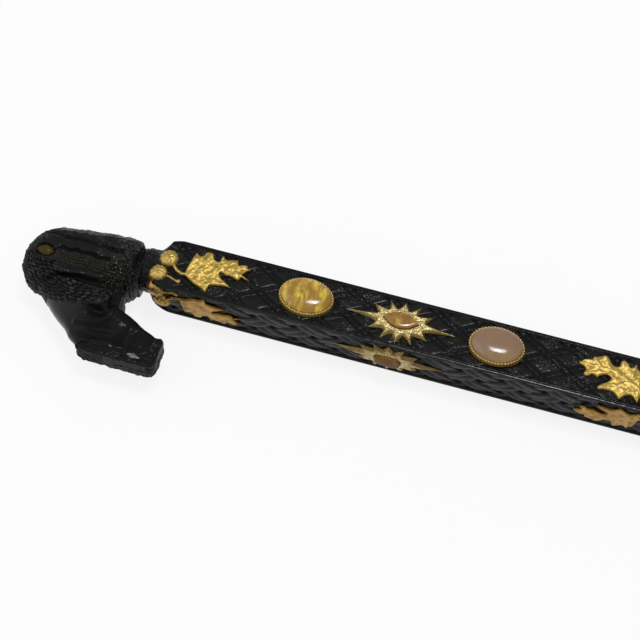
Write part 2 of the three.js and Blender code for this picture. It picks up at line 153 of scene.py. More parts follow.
class StickFinishSettings(bpy.types.PropertyGroup):
    """Colours of the finishes."""
    # The plain lacquer also serves as the painted shade in the hollows; the worn colour is its lighter, lit copy with
    # rubbed wear on top.
    lacquer: colour("Lacquer", "Black lacquer of handle and shaft", (0.0050, 0.0052, 0.0054))
    lacquer_lit_worn: colour("Worn and lit lacquer", "Lacquer rubbed thin on the crests", (0.0190, 0.0188, 0.0180))
    # Lighter lacquer: polish on the run below the block, and painted sheen on the grip's left side and on the head's
    # scale crests.
    lacquer_polish_sheen: colour("Satin lacquer", "Lacquer polished by the hand", (0.042, 0.042, 0.041))
    # Painted glints: light grey specks laid on the stippled crests in place of highlights.
    painted_glint: colour("Glints", "Bright specks where the carving's crests are glinting", (0.26, 0.26, 0.255))
    scale_tint: colour("Scale tint", "Greenish brown of the scaled band on the head", (0.0165, 0.0145, 0.0085))
    # Partly dust, partly painted highlight: brightened so that it also stands in for glints on the stippled crumbs.
    dust_and_glint: colour("Dust", "Dust settled in the carving", (0.085, 0.085, 0.086))
    gilt: colour("Gilt", "Hammered gilt of leaves, acorns and settings", (0.53, 0.375, 0.092))
    gilt_bright: colour("Bright gilt", "Rubbed crests of the gilt", (0.68, 0.50, 0.17))
    gilt_dark: colour("Dark gilt", "Patina in the hollows of the gilt", (0.25, 0.155, 0.040))
    # Painted shade: darker and browner copies of the gilt, given to the leaves and acorns of the plain faces to show
    # them less lit.
    shaded_gilt: colour("Shaded side gilt", "Browner gilt of the plain faces' leaves", (0.335, 0.187, 0.036))
    shaded_gilt_bright: colour("Bright shaded side gilt", "Rubbed crests of the browner gilt", (0.50, 0.34, 0.11))
    shaded_gilt_dark: colour("Dark shaded side gilt", "Patina in the hollows of the browner gilt", (0.12, 0.060, 0.014))
    pale_gilt: colour("Pale gilt", "Grainy gilt of the starbursts", (0.44, 0.335, 0.115))
    pale_bright: colour("Bright pale gilt", "Rubbed grains of the starbursts", (0.72, 0.60, 0.33))
    pale_dark: colour("Dark pale gilt", "Patina between the grains of the starbursts", (0.15, 0.10, 0.035))
    # Painted shade: a darker copy of the pale gilt for the plain faces' starbursts.
    shaded_pale_gilt: colour("Shaded star gilt", "Grainy gilt of the plain faces' starbursts", (0.27, 0.19, 0.072))
    honey: colour("Honey stone", "Body of the oval stone near the head", (0.325, 0.172, 0.022))
    honey_vein: colour("Honey stone fibres", "Bright fibres in the honey stone", (0.82, 0.62, 0.07))
    rose: colour("Rose stone", "Body of the oval stone near the tip", (0.250, 0.150, 0.092))
    rose_vein: colour("Rose stone cloud", "Clouds in the rose stone", (0.33, 0.205, 0.082))
    amber: colour("Amber", "Body of the jewelled face's cut stone", (0.25, 0.115, 0.014))
    amber_vein: colour("Amber cloud", "Bright clouds in the amber", (0.50, 0.31, 0.05))
    red_amber: colour("Red amber", "Body of the plain faces' cut stones", (0.165, 0.075, 0.008))
    red_amber_vein: colour("Red amber cloud", "Bright clouds in the red amber", (0.27, 0.16, 0.025))
    eye: colour("Eye", "Body of the eyes", (0.050, 0.033, 0.008))
    eye_vein: colour("Eye cloud", "Bright middle of the eyes", (0.150, 0.100, 0.018))
    steel: colour("Steel", "Washer and stud", (0.50, 0.51, 0.52))
    rubber: colour("Rubber", "Ferrule", (0.016, 0.016, 0.016))


class StickStageSettings(bpy.types.PropertyGroup):
    """Camera, light and floor."""
    aim: FloatVectorProperty(name="Aim", description="Point that the camera looks at", size=3, subtype="XYZ",
                             default=(-0.3131, 0.0146, 0.0168), unit="LENGTH")
    azimuth: angle("Azimuth", "Camera's turn round the stick", 16.28)
    elevation: angle("Elevation", "Camera's height above the horizon", 62.94)
    distance: length("Distance", "Camera's distance from its aim", 0.900)
    lens: FloatProperty(name="Lens", description="Focal length", default=107.6, unit="CAMERA")
    key_energy: watts("Window light", "Power of the window light", 5.4)
    core_energy: watts("Window's middle", "Power of the window's brighter middle", 2.2)
    core_size: length("Middle's size", "Edge of the window's brighter middle", 0.13)
    key_length: length("Window length", "Window light along the stick", 0.46)
    key_width: length("Window width", "Window light across the stick", 0.30)
    key_distance: length("Window distance", "Distance of the window light from the stones", 1.5)
    fill_energy: watts("Side light", "Power of the broad side light", 6.6)
    fill_size: length("Side light size", "Edge of the broad side light", 1.7)
    sky: FloatProperty(name="Sky", description="Strength of the even light all round", default=0.47)
    floor_glow: share("Floor glow", "Share of the floor that the camera sees as plain white", 0.84)
    floor: colour("Floor", "Colour of the floor", (0.95, 0.95, 0.95))


def settings():
    return bpy.context.scene.carved_stick


def mm(value):
    return value / MM


def node_box(node):
    """The two corners of a node's box, in millimetres from the joint."""
    return [(np.array(corner) - JOINT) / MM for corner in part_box(node)]


# ---------------------------------------------------------------- shapes

def place(points):
    """Millimetres from the joint to metres in the frame."""
    return np.asarray(points, float) * MM + JOINT


def face_place(points, turn):
    """Points laid out as if their face were up, turned to their own face about the axis."""
    x, y, z = points.T
    c, s = math.cos(turn), math.sin(turn)
    return np.column_stack([x, y * c - z * s, y * s + z * c])


def outward(points, faces):
    """Faces turned so that the closed shell faces out."""
    corners = np.array([(face[0], face[i], face[i + 1]) for face in faces for i in range(1, len(face) - 1)])
    a, b, c = (points - points.mean(0))[corners.T]
    if np.sum(a * np.cross(b, c)) < 0:
        return [tuple(reversed(face)) for face in faces]
    return faces


def build_mesh(name, points, faces, smooth=True):
    mesh = bpy.data.meshes.new(name)
    mesh.from_pydata(points.tolist(), [], faces)
    mesh.validate()
    mesh.polygons.foreach_set("use_smooth", [smooth] * len(mesh.polygons))
    mesh.update()
    return mesh


def add_piece(name, mesh, finish, slot, *nodes):
    """A piece that stands for its nodes and rides with the stick."""
    piece = bpy.data.objects.new(name, mesh)
    bpy.context.scene.collection.objects.link(piece)
    mesh.materials.append(finish_named(finish))
    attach(piece, "root")
    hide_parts(*nodes)


def paint(mesh, name, values):
    """Keeps one number for each vertex, for the materials to read."""
    layer = mesh.attributes.new(name, "FLOAT", "POINT")
    layer.data.foreach_set("value", np.asarray(values, np.float32))


def smoothstep(low, high, value):
    t = np.clip((value - low) / (high - low), 0, 1)
    return t * t * (3 - 2 * t)


def mix(a, b, t):
    return a + (b - a) * t


def round_angles(count):
    """Evenly spaced angles round a circle."""
    return np.arange(count) * 2 * math.pi / count


def cell_random(seed, *cells):
    """A repeatable number from 0 to 1 for each cell."""
    mask = np.uint64(0xFFFFFFFF)
    h = np.full(np.shape(cells[0]), (seed * 374761393 + 668265263) & 0xFFFFFFFF, np.uint64)
    for cell in cells:
        whole = np.asarray(cell).astype(np.int64).astype(np.uint64) & mask
        h = ((h ^ whole) * np.uint64(2654435761)) & mask
        h ^= h >> np.uint64(15)
        h = (h * np.uint64(2246822519)) & mask
        h ^= h >> np.uint64(13)
    return (h & np.uint64(0xFFFF)).astype(float) / 65535.0


def noise(points, size, seed):
    """Soft noise from 0 to 1 with features of the given size."""
    q = np.asarray(points, float) / size
    base = np.floor(q)
    f = q - base
    f = f * f * (3 - 2 * f)
    total = np.zeros(len(q))
    for corner in range(2 ** q.shape[1]):
        picks = [(corner >> axis) & 1 for axis in range(q.shape[1])]
        weight = np.ones(len(q))
        for axis, pick in enumerate(picks):
            weight *= f[:, axis] if pick else 1 - f[:, axis]
        total += weight * cell_random(seed, *[base[:, axis] + pick for axis, pick in enumerate(picks)])
    return total


def rough_noise(points, size, seed, octaves=3):
    total, reach, weight = 0.0, 0.0, 1.0
    for octave in range(octaves):
        total = total + weight * noise(points, size / 2 ** octave, seed + octave)
        reach += weight
        weight *= 0.5
    return total / reach


def lumps(points, size, seed, jitter=0.8):
    """Rounded lumps, one in each cell of a flat grid, from 0 between them to 1 on their crowns."""
    q = np.asarray(points, float) / size
    base = np.floor(q)
    nearest = np.full(len(q), 9.0)
    for dx in (-1, 0, 1):
        for dy in (-1, 0, 1):
            cx, cy = base[:, 0] + dx, base[:, 1] + dy
            px = cx + 0.5 + jitter * (cell_random(seed, cx, cy) - 0.5)
            py = cy + 0.5 + jitter * (cell_random(seed + 1, cx, cy) - 0.5)
            nearest = np.minimum(nearest, (q[:, 0] - px) ** 2 + (q[:, 1] - py) ** 2)
    return np.clip(1 - nearest * 2.6, 0, 1) ** 0.7


def scale_rows(along, across, long, high, seed):
    """Carved scales in staggered rows: 0 in the cuts between them, up to 1 on a scale."""
    row = np.floor(across / high)
    slide = 0.5 * (row % 2) + 0.5 * cell_random(seed + 5, row)
    column = np.floor(along / long + slide)
    p = np.abs(along / long + slide - column - 0.5) * 2
    q = np.abs(across / high - row - 0.5) * 2
    body = np.clip(1 - p ** 2.6 - q ** 2.6, 0, 1) ** 0.5
    return body * (0.6 + 0.4 * cell_random(seed, column, row))


def path_distance(points, path):
    """Distance from flat points to a line through the path's points."""
    x, y = points.T
    best = np.full(len(points), 1e9)
    for (x0, y0), (x1, y1) in zip(path[:-1], path[1:]):
        dx, dy = x1 - x0, y1 - y0
        t = np.clip(((x - x0) * dx + (y - y0) * dy) / (dx * dx + dy * dy), 0, 1)
        best = np.minimum(best, np.hypot(x - x0 - t * dx, y - y0 - t * dy))
    return best


def ridge(points, path, width):
    return np.exp(-(path_distance(points, path) / width) ** 2)


def inside_outline(points, outline):
    """Whether flat points lie inside a closed outline."""
    x, y = points.T
    inside = np.zeros(len(points), bool)
    for (x0, y0), (x1, y1) in zip(outline, outline[1:] + outline[:1]):
        if y0 != y1:
            inside ^= ((y0 > y) != (y1 > y)) & (x < (x1 - x0) * (y - y0) / (y1 - y0) + x0)
    return inside


def even_outline(outline, step):
    """The outline with points added so that no stretch is longer than the step."""
    dense = []
    for (x0, y0), (x1, y1) in zip(outline, outline[1:] + outline[:1]):
        count = max(1, int(math.ceil(math.hypot(x1 - x0, y1 - y0) / step)))
        dense += [(mix(x0, x1, i / count), mix(y0, y1, i / count)) for i in range(count)]
    return dense


def soften_outline(outline, cut):
    """Corners eased by cutting a share of each side off them."""
    eased = []
    for before, here, after in zip(outline[-1:] + outline[:-1], outline, outline[1:] + outline[:1]):
        eased += [(mix(here[0], beside[0], cut), mix(here[1], beside[1], cut)) for beside in (before, after)]
    return eased


def relief_plate(outline, step, height_of, floor):
    """A closed plate over an outline: its top follows height_of, and its underside is flat."""
    edge = even_outline(outline, step)
    xs, ys = zip(*edge)
    gx, gy = np.meshgrid(np.arange(min(xs), max(xs), step), np.arange(min(ys), max(ys), step * 0.87))
    gx = gx + (np.arange(gx.shape[0]) % 2)[:, None] * step / 2
    grid = np.stack([gx.ravel(), gy.ravel()], 1)
    grid = grid[inside_outline(grid, edge)]
    grid = grid[path_distance(grid, edge + edge[:1]) > step * 0.55]
    sides = [(i, (i + 1) % len(edge)) for i in range(len(edge))]
    found = delaunay_2d_cdt([Vector(p) for p in edge + grid.tolist()], sides, [], 1, 1e-5)
    spots = np.array([(v.x, v.y) for v in found[0]])
    tiles = [tuple(t) for t in found[2]]
    high = height_of(spots, path_distance(spots, edge + edge[:1]))
    count = len(spots)
    points = np.concatenate([np.column_stack([spots, high]), np.column_stack([spots, np.full(count, floor)])])
    pairs = dict.fromkeys(pair for a, b, c in tiles for pair in ((a, b), (b, c), (c, a)))
    faces = tiles + [tuple(i + count for i in reversed(t)) for t in tiles]
    faces += [(b, a, a + count, b + count) for a, b in pairs if (b, a) not in pairs]
    return points, outward(points, faces)


def ring_shell(rings, looped=False):
    """A closed skin over rings of equally many points, capped at its ends or looped from the last to the first."""
    count, sides = len(rings), len(rings[0])
    points = np.concatenate(rings)
    faces = []
    for r in range(count if looped else count - 1):
        here, there = r * sides, (r + 1) % count * sides
        for a in range(sides):
            b = (a + 1) % sides
            faces.append((here + a, here + b, there + b, there + a))
    if not looped:
        for start, turn in ((0, -1), ((count - 1) * sides, 1)):
            hub = len(points)
            points = np.vstack([points, points[start:start + sides].mean(0)])
            faces += [(start + a, start + (a + 1) % sides, hub)[::turn] for a in range(sides)]
    return points, outward(points, faces)


def face_level():
    s = settings().shaft
    return mm(s.block_half - s.field_depth)


def star_middle(jewelled):
    s, o = settings().shaft, settings().ornament
    middle = mm(s.neck_length + s.block_length / 2 + o.star_shift)
    return middle if jewelled > 0 else middle + mm(o.side_star_shift)


# ---------------------------------------------------------------- node helpers

def add_node(tree, kind, **values):
    node = tree.nodes.new("ShaderNode" + kind)
    for key, value in values.items():
        setattr(node, key, value)
    return node


def set_input(tree, socket, value):
    """Links an input to another node's socket, or gives it a plain value."""
    if isinstance(value, bpy.types.NodeSocket):
        tree.links.new(value, socket)
    else:
        socket.default_value = value


def feed(tree, node, **inputs):
    """Sets or links the node's inputs by name, with spaces written as underscores."""
    for key, value in inputs.items():
        set_input(tree, node.inputs[key.replace("_", " ")], value)
    return node


def calculate(tree, operation, a, b, clamp=False):
    node = add_node(tree, "Math", operation=operation, use_clamp=clamp)
    set_input(tree, node.inputs[0], a)
    set_input(tree, node.inputs[1], b)
    return node.outputs[0]


def multiply(tree, a, b, clamp=False):
    return calculate(tree, "MULTIPLY", a, b, clamp)


def blend_colours(tree, factor, a, b, how="MIX"):
    """A mix of two colours, each a socket or three numbers."""
    node = add_node(tree, "Mix", data_type="RGBA", blend_type=how)
    set_input(tree, node.inputs[0], factor)
    for socket, value in ((node.inputs[6], a), (node.inputs[7], b)):
        set_input(tree, socket, value if isinstance(value, bpy.types.NodeSocket) else (*value, 1.0))
    return node.outputs[2]


def spread(tree, value, low, high, to_low=0.0, to_high=1.0):
    """The value stretched from one range to another."""
    node = add_node(tree, "MapRange")
    return feed(tree, node, Value=value, From_Min=low, From_Max=high, To_Min=to_low, To_Max=to_high).outputs[0]


def cloud_texture(tree, where, scale, detail, **more):
    return feed(tree, add_node(tree, "TexNoise"), Vector=where, Scale=scale, Detail=detail, **more).outputs[0]


def stretch(tree, where, x, y, z):
    """Coordinates multiplied by a factor for each axis."""
    factors = feed(tree, add_node(tree, "CombineXYZ"), X=x, Y=y, Z=z)
    node = add_node(tree, "VectorMath", operation="MULTIPLY")
    set_input(tree, node.inputs[0], where)
    set_input(tree, node.inputs[1], factors.outputs[0])
    return node.outputs[0]


def new_group(name, outputs, **inputs):
    """A group with a Vector input and the named ones, each a number or a colour as its default says."""
    tree = bpy.data.node_groups.new(name, "ShaderNodeTree")
    tree.interface.new_socket(name="Vector", in_out="INPUT", socket_type="NodeSocketVector")
    for label, default in inputs.items():
        kind = "NodeSocketColor" if isinstance(default, tuple) else "NodeSocketFloat"
        tree.interface.new_socket(name=label, in_out="INPUT", socket_type=kind).default_value = default
    for label in outputs:
        kind = "NodeSocketColor" if label == "Color" else "NodeSocketFloat"
        tree.interface.new_socket(name=label, in_out="OUTPUT", socket_type=kind)
    return tree, tree.nodes.new("NodeGroupInput").outputs, tree.nodes.new("NodeGroupOutput")


def use_group(tree, name, **inputs):
    node = tree.nodes.new("ShaderNodeGroup")
    node.node_tree = bpy.data.node_groups[name]
    return feed(tree, node, **inputs).outputs


def make_groups():
    """The effects that several finishes share."""
    tree, given, out = new_group("Rubbed Wear", ("Mask",), Scale=300.0, Amount=0.5)
    coarse = cloud_texture(tree, given["Vector"], given["Scale"], 5.0, Roughness=0.62)
    lower = calculate(tree, "SUBTRACT", 0.78, multiply(tree, given["Amount"], 0.4))
    feed(tree, out, Mask=spread(tree, coarse, lower, calculate(tree, "ADD", lower, 0.16)))

    tree, given, out = new_group("Fine Grain", ("Height",), Scale=1500.0, Stretch=1.0)
    drawn = stretch(tree, given["Vector"], given["Stretch"], 1.0, 1.0)
    feed(tree, out, Height=cloud_texture(tree, drawn, given["Scale"], 4.0, Roughness=0.6))

    tree, given, out = new_group("Beaten Metal", ("Height", "Hollow"), Scale=700.0, Swirl=0.4)
    swirls = cloud_texture(tree, given["Vector"], given["Scale"], 3.0, Distortion=1.4)
    bowls = add_node(tree, "TexVoronoi", feature="SMOOTH_F1")
    feed(tree, bowls, Vector=given["Vector"], Scale=given["Scale"], Smoothness=0.5)
    mixed = add_node(tree, "Mix", data_type="FLOAT")
    for at, value in ((0, given["Swirl"]), (2, bowls.outputs["Distance"]), (3, swirls)):
        set_input(tree, mixed.inputs[at], value)
    feed(tree, out, Height=mixed.outputs[0], Hollow=spread(tree, mixed.outputs[0], 0.46, 0.30))

    tree, given, out = new_group("Stone Body", ("Color", "Mask"), Scale=120.0, Fibre=0.3,
                                 Body=(0.5, 0.3, 0.1, 1), Vein=(0.8, 0.6, 0.3, 1))
    drawn = stretch(tree, given["Vector"], 1.0, given["Fibre"], given["Fibre"])
    fibres = cloud_texture(tree, drawn, given["Scale"], 4.0, Distortion=0.6)
    clouds = cloud_texture(tree, given["Vector"], multiply(tree, given["Scale"], 0.4), 2.0)
    bright = multiply(tree, spread(tree, fibres, 0.42, 0.66), spread(tree, clouds, 0.36, 0.62))
    feed(tree, out, Color=blend_colours(tree, bright, given["Body"], given["Vein"]), Mask=bright)


def rubbed_wear(tree, where, scale, amount):
    return use_group(tree, "Rubbed Wear", Vector=where, Scale=scale, Amount=amount)["Mask"]


def fine_grain(tree, where, scale, along):
    return use_group(tree, "Fine Grain", Vector=where, Scale=scale, Stretch=along)["Height"]


def new_material(name, roughness=0.4, **sockets):
    """A material with its own shader, and the object's coordinates to draw on it with."""
    material = bpy.data.materials.new(name)
    material.use_nodes = True
    tree = material.node_tree
    shader = tree.nodes["Principled BSDF"]
    feed(tree, shader, Roughness=roughness, **sockets)
    where = add_node(tree, "TexCoord").outputs["Object"]
    return material, tree, shader, where


def read_paint(tree, name):
    return add_node(tree, "Attribute", attribute_name=name).outputs["Fac"]


def bump(tree, height, strength, distance, **normal):
    return feed(tree, add_node(tree, "Bump"), Height=height, Strength=strength, Distance=distance, **normal).outputs[0]


def lacquer_material(name, tinted):
    """Black lacquer over carved wood: rubbed crests, dull hollows kept darker as painted shade, dust and painted glints
    in the stipple, painted sheen where the paint asks for it, and a fine uneven skin.
    """
    f = settings().finish
    material, tree, shader, where = new_material(name, Specular_IOR_Level=0.055, Coat_Roughness=0.09)
    wear, grain = rubbed_wear(tree, where, 260.0, 0.5), fine_grain(tree, where, 1500.0, 0.3)
    pits = feed(tree, add_node(tree, "TexVoronoi"), Vector=where, Scale=1100.0).outputs
    hollow, stipple = read_paint(tree, "hollow"), read_paint(tree, "stipple")

    # Painted shade: the hollows keep the darkest lacquer, and all else takes some of the lighter worn colour.
    unshaded = calculate(tree, "SUBTRACT", 1.0, hollow, clamp=True)
    worn = multiply(tree, calculate(tree, "ADD", multiply(tree, wear, 0.5), 0.25), unshaded)
    body = blend_colours(tree, worn, f.lacquer, f.lacquer_lit_worn)
    # Painted sheen, with polish on the lower run: the lighter lacquer where the paint asks for it.
    polish_and_sheen = multiply(tree, read_paint(tree, "polish_and_sheen"), spread(tree, grain, 0.3, 0.6, 0.6, 1.0), clamp=True)
    body = blend_colours(tree, polish_and_sheen, body, f.lacquer_polish_sheen)
    # Dust on the stipple, brightened to serve as painted glints too.
    glinting_dust = multiply(tree, stipple, spread(tree, grain, 0.50, 0.66), clamp=True)
    body = blend_colours(tree, multiply(tree, glinting_dust, 0.55), body, f.dust_and_glint)
    if tinted:
        tint = multiply(tree, read_paint(tree, "tint"), spread(tree, grain, 0.3, 0.6))
        body = blend_colours(tree, tint, body, f.scale_tint)
    # Painted glints: bright specks on the stippled ground and the head's pimples, standing in for highlights.
    specks = multiply(tree, spread(tree, pits["Color"], 0.70, 0.80), spread(tree, pits["Distance"], 0.40, 0.22))
    body = blend_colours(tree, multiply(tree, specks, stipple, clamp=True), body, f.painted_glint)

    dull = calculate(tree, "ADD", multiply(tree, hollow, 0.28), spread(tree, grain, 0.3, 0.7, 0.25, 0.37), clamp=True)
    coat = spread(tree, hollow, 0.0, 1.0, 0.16, 0.03)
    skin = bump(tree, multiply(tree, pits["Distance"], stipple), 0.9, 0.0006, Normal=bump(tree, grain, 0.3, 0.0003))
    feed(tree, shader, Base_Color=body, Roughness=dull, Coat_Weight=coat, Normal=skin)
    return material


def gilt_material(name, base, bright, dark, scale, swirl, roughness, depth):
    """Gilt metal: beaten or grainy, bright on the crests and dark in the hollows."""
    material, tree, shader, where = new_material(name, Metallic=1.0)
    beaten = use_group(tree, "Beaten Metal", Vector=where, Scale=scale, Swirl=swirl)
    wear, grain = rubbed_wear(tree, where, 420.0, 0.6), fine_grain(tree, where, 3200.0, 1.0)
    rubbed = calculate(tree, "MAXIMUM", multiply(tree, wear, 0.5), read_paint(tree, "rubbed"), clamp=True)
    shade = calculate(tree, "MAXIMUM", multiply(tree, beaten["Hollow"], 0.4), read_paint(tree, "hollow"), clamp=True)
    body = blend_colours(tree, shade, blend_colours(tree, rubbed, base, bright), dark)
    dull = calculate(tree, "ADD", multiply(tree, shade, 0.25), roughness)
    skin = bump(tree, grain, 0.25, 0.0001, Normal=bump(tree, beaten["Height"], 0.6, depth))
    feed(tree, shader, Base_Color=body, Roughness=dull, Normal=skin)
    return material


def stone_material(name, body, vein, scale, fibre, edge, coat=0.85):
    """A polished stone: fibres and clouds inside, deeper colour where it turns away, and a glassy skin."""
    material, tree, shader, where = new_material(name, roughness=0.12, Specular_IOR_Level=0.2 * coat,
                                                 Coat_Weight=coat, Coat_Roughness=0.11)
    stone = use_group(tree, "Stone Body", Vector=where, Scale=scale, Fibre=fibre, Body=(*body, 1), Vein=(*vein, 1))
    facing = feed(tree, add_node(tree, "LayerWeight"), Blend=0.35).outputs["Facing"]
    deep = blend_colours(tree, 1.0, stone["Color"], edge, "MULTIPLY")
    tone = blend_colours(tree, spread(tree, facing, 0.15, 0.75), stone["Color"], deep)
    dull = spread(tree, stone["Mask"], 0, 1, 0.55 - 0.4 * coat, 0.5 - 0.4 * coat)
    feed(tree, shader, Base_Color=tone, Roughness=dull)
    return material


def steel_material(name):
    f = settings().finish
    material, tree, shader, where = new_material(name, Metallic=1.0)
    wear, brushed = rubbed_wear(tree, where, 500.0, 0.4), fine_grain(tree, where, 2600.0, 0.05)
    feed(tree, shader, Base_Color=blend_colours(tree, wear, f.steel, [c * 0.7 for c in f.steel]),
         Roughness=spread(tree, brushed, 0.3, 0.7, 0.26, 0.42), Normal=bump(tree, brushed, 0.3, 0.0001))
    return material


def rubber_material(name):
    f = settings().finish
    material, tree, shader, where = new_material(name, Specular_IOR_Level=0.3)
    wear, grain = rubbed_wear(tree, where, 240.0, 0.9), fine_grain(tree, where, 1400.0, 1.0)
    dust_and_glint = calculate(tree, "MAXIMUM", multiply(tree, wear, 0.35), multiply(tree, read_paint(tree, "hollow"), 0.5))
    feed(tree, shader, Base_Color=blend_colours(tree, dust_and_glint, f.rubber, f.dust_and_glint),
         Roughness=spread(tree, grain, 0.3, 0.7, 0.62, 0.86), Normal=bump(tree, grain, 0.4, 0.0002))
    return material


def finish_named(name):
    """The finish of that name, made when it is first asked for."""
    if name in bpy.data.materials:
        return bpy.data.materials[name]
    f = settings().finish
    maker, *values = {
        "Carved Lacquer": (lacquer_material, False),
        "Scaly Lacquer": (lacquer_material, True),
        "Hammered Gilt": (gilt_material, f.gilt, f.gilt_bright, f.gilt_dark, 560.0, 0.9, 0.45, 0.0001),
        "Aged Gilt": (gilt_material, f.shaded_gilt, f.shaded_gilt_bright, f.shaded_gilt_dark, 420.0, 1.0, 0.38, 0.0001),
        "Grainy Pale Gilt": (gilt_material, f.pale_gilt, f.pale_bright, f.pale_dark, 1500.0, 0.2, 0.34, 0.0003),
        "Grainy Dull Gilt": (gilt_material, f.shaded_pale_gilt, f.pale_bright, f.pale_dark, 1500.0, 0.2, 0.38, 0.0003),
        "Honey Stone": (stone_material, f.honey, f.honey_vein, 430.0, 0.3, (0.8, 0.62, 0.42)),
        "Rose Stone": (stone_material, f.rose, f.rose_vein, 120.0, 0.5, (0.85, 0.74, 0.66)),
        "Amber Stone": (stone_material, f.amber, f.amber_vein, 420.0, 0.7, (0.5, 0.3, 0.15)),
        "Red Amber Stone": (stone_material, f.red_amber, f.red_amber_vein, 420.0, 0.7, (0.5, 0.28, 0.2), 0.2),
        "Dark Eye Stone": (stone_material, f.eye, f.eye_vein, 380.0, 0.5, (0.35, 0.3, 0.25), 0.15),
        "Brushed Steel": (steel_material,),
        "Ferrule Rubber": (rubber_material,),
    }[name]
    return maker(name, *values)


# ---------------------------------------------------------------- shaft

COVE_LENGTH = 6.0  # of the shoulder's hollow at the upper far edge, in millimetres


def shoulder_section(x, a, s):
    """Half width and squareness of the block: its shoulders are round, and hollow at the upper far edge."""
    start, end = mm(s.neck_length), mm(s.neck_length + s.block_length)
    inward = np.minimum(x - start, end - x)
    t, cove = np.clip(inward / mm(s.shoulder), 0, 1), np.clip(inward / COVE_LENGTH, 0, 1)
    hollowed = smoothstep(0.35, 0.95, (np.cos(a) - np.sin(a)) / math.sqrt(2))
    rise = mix((1 - (1 - t) ** 1.6) ** (1 / 1.6), 0.8 * cove ** 1.7 + 0.2 * t, hollowed)
    squared = mix(np.minimum(1, t * 1.3) ** 1.5, 0.1 * cove ** 3 + 0.9 * t ** 3, hollowed)
    return mix(mm(s.neck_radius), mm(s.block_half), rise), mix(2.0, 30.0, squared)


# Patches of stippled ground on the jewelled face, which carry dust and painted glints: (along from the starburst,
# across, reach), in millimetres.
STIPPLED_SPOTS = ((68, -1, 2.4), (73.5, -4.5, 1.6), (69, 8, 2.0), (57, -10.4, 1.1), (74, -10.4, 1.1), (-30, 8.6, 2.2),
               (-24, -8.5, 2.0))
# The border's two flat threads between grooves: places across a face, and how far each lies below it, in millimetres.
EDGE_PROFILE = ((11.0, 11.20, 11.40, 11.95, 12.08, 12.22, 12.36, 12.90, 13.25),
                (0.8, 0.8, 0.13, 0.22, 0.62, 0.62, 0.20, 0.29, 0.40))


def strand_profile(off):
    """Two rounded ribs side by side across a strand, falling away beyond its edges."""
    rib = np.sqrt(np.clip(1 - ((np.abs(off) - 0.19) / 0.215) ** 2, 0, 1))
    return rib - 1.6 * smoothstep(0.365, 0.44, np.abs(off))


def weave(x, v, s):
    """The woven side faces: double-ribbed strands that slant both ways and pass over and under each other."""
    flat = np.column_stack([x, v])
    wander = 0.07 * (noise(flat, 9.0, 31) - 0.5)
    along, across = (x - star_middle(1)) / mm(s.weave_pitch), v / mm(s.weave_rise)
    rising, falling = along - across - 0.705 + wander, along + across - 0.455 - wander
    i, j = np.round(rising), np.round(falling)
    over_rising = 0.5 - 0.5 * np.cos(math.pi * (falling - i))
    over_falling = 0.5 + 0.5 * np.cos(math.pi * (rising - j))
    one = -0.62 * over_rising + 0.36 * (strand_profile(rising - i) - 1)
    two = -0.62 * over_falling + 0.36 * (strand_profile(falling - j) - 1)
    level = np.maximum(np.maximum(one, two), -1.0)
    tooling = 0.10 * (noise(np.column_stack([(x + v) * 0.3, (x - v) * 2]), 2.2, 33) - 0.5)
    # The second value darkens the gaps between the strands, as painted shade.
    return level + tooling, np.clip(-level * 1.25 - 0.25, 0, 1), np.zeros(len(x))


def band_offset(c):
    return np.abs(c - np.round(c))


def crossing_bands(x, v, s):
    """The jewelled face: narrow crossing bands between incised lines, domed diamonds and patches of stippled ground."""
    tilt, pitch = s.strand_angle, mm(s.band_pitch) * math.sin(s.strand_angle)
    flat = np.column_stack([x, v])
    wander = 0.04 * (noise(flat, 8.0, 41) - 0.5)
    run, rise = (x - star_middle(1)) * math.sin(tilt), v * math.cos(tilt)
    off1 = band_offset((run + rise - 37.5) / pitch + wander)
    off2 = band_offset((run - rise + 10.4) / pitch - wander)
    half = mm(s.band_width) / pitch / 2
    cut = 0.0
    for off in (off1, off2):
        cut = np.maximum(cut, np.exp(-((off - half) * pitch / 0.40) ** 2))
    band = np.maximum(smoothstep(half + 0.02, half - 0.02, off1), smoothstep(half + 0.02, half - 0.02, off2))
    room = np.clip((np.minimum(off1, off2) - half) / (0.5 - half), 0, 1)
    dome = 1 - (1 - np.clip(room * 1.6, 0, 1)) ** 2
    patchy = smoothstep(0.55, 0.66, noise(flat, 6.5, 43))
    for px, pv, reach in STIPPLED_SPOTS:
        patchy = np.maximum(patchy, np.exp(-((x - star_middle(1) - px) ** 2 + (v - pv) ** 2) / reach ** 2))
    stippled = np.clip(patchy * (1 - 0.6 * band), 0, 1)
    beads = lumps(flat, 0.95, 51)
    chips = smoothstep(0.62, 0.7, noise(flat, 1.3, 57)) * band
    level = -0.20 * (1 - band) * (1 - dome) - 0.26 * cut - 0.22 * band + 0.5 * stippled * (beads - 0.5) - 0.10 * chips
    level += 0.12 * (rough_noise(flat, 3.4, 53) - 0.5) - 0.12
    # The second value darkens the cuts, the bands and the gaps between beads, as painted shade.
    return level, np.clip(0.8 * cut + 0.5 * band + 0.3 * stippled * (1 - beads), 0, 1), stippled


# Fine rings turned into the run below the block: their places from its start, in millimetres.
TURNED_RINGS = (6.0, 7.6)


def shaft_grid():
    """The shaft's skin: closely set rings over the block and wide ones below it, and how the points lie round them."""
    s = settings().shaft
    step, per_side, edge = ((0.4, 90, 15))
    start, end = mm(s.neck_length), mm(s.neck_length + s.block_length)
    stations = np.concatenate([np.arange(0, start, 0.3), np.arange(start, end, step),
                               np.arange(end, end + start, 0.5), np.linspace(end + start, mm(SHAFT_END), 90)])
    outer = np.linspace(0.835, 0.997, edge)
    side = np.concatenate([-outer[::-1], np.linspace(-0.82, 0.82, per_side - 2 * edge), outer])
    angles = np.concatenate([k * math.pi / 2 + np.arctan(side) for k in range(4)])
    return stations, angles, per_side


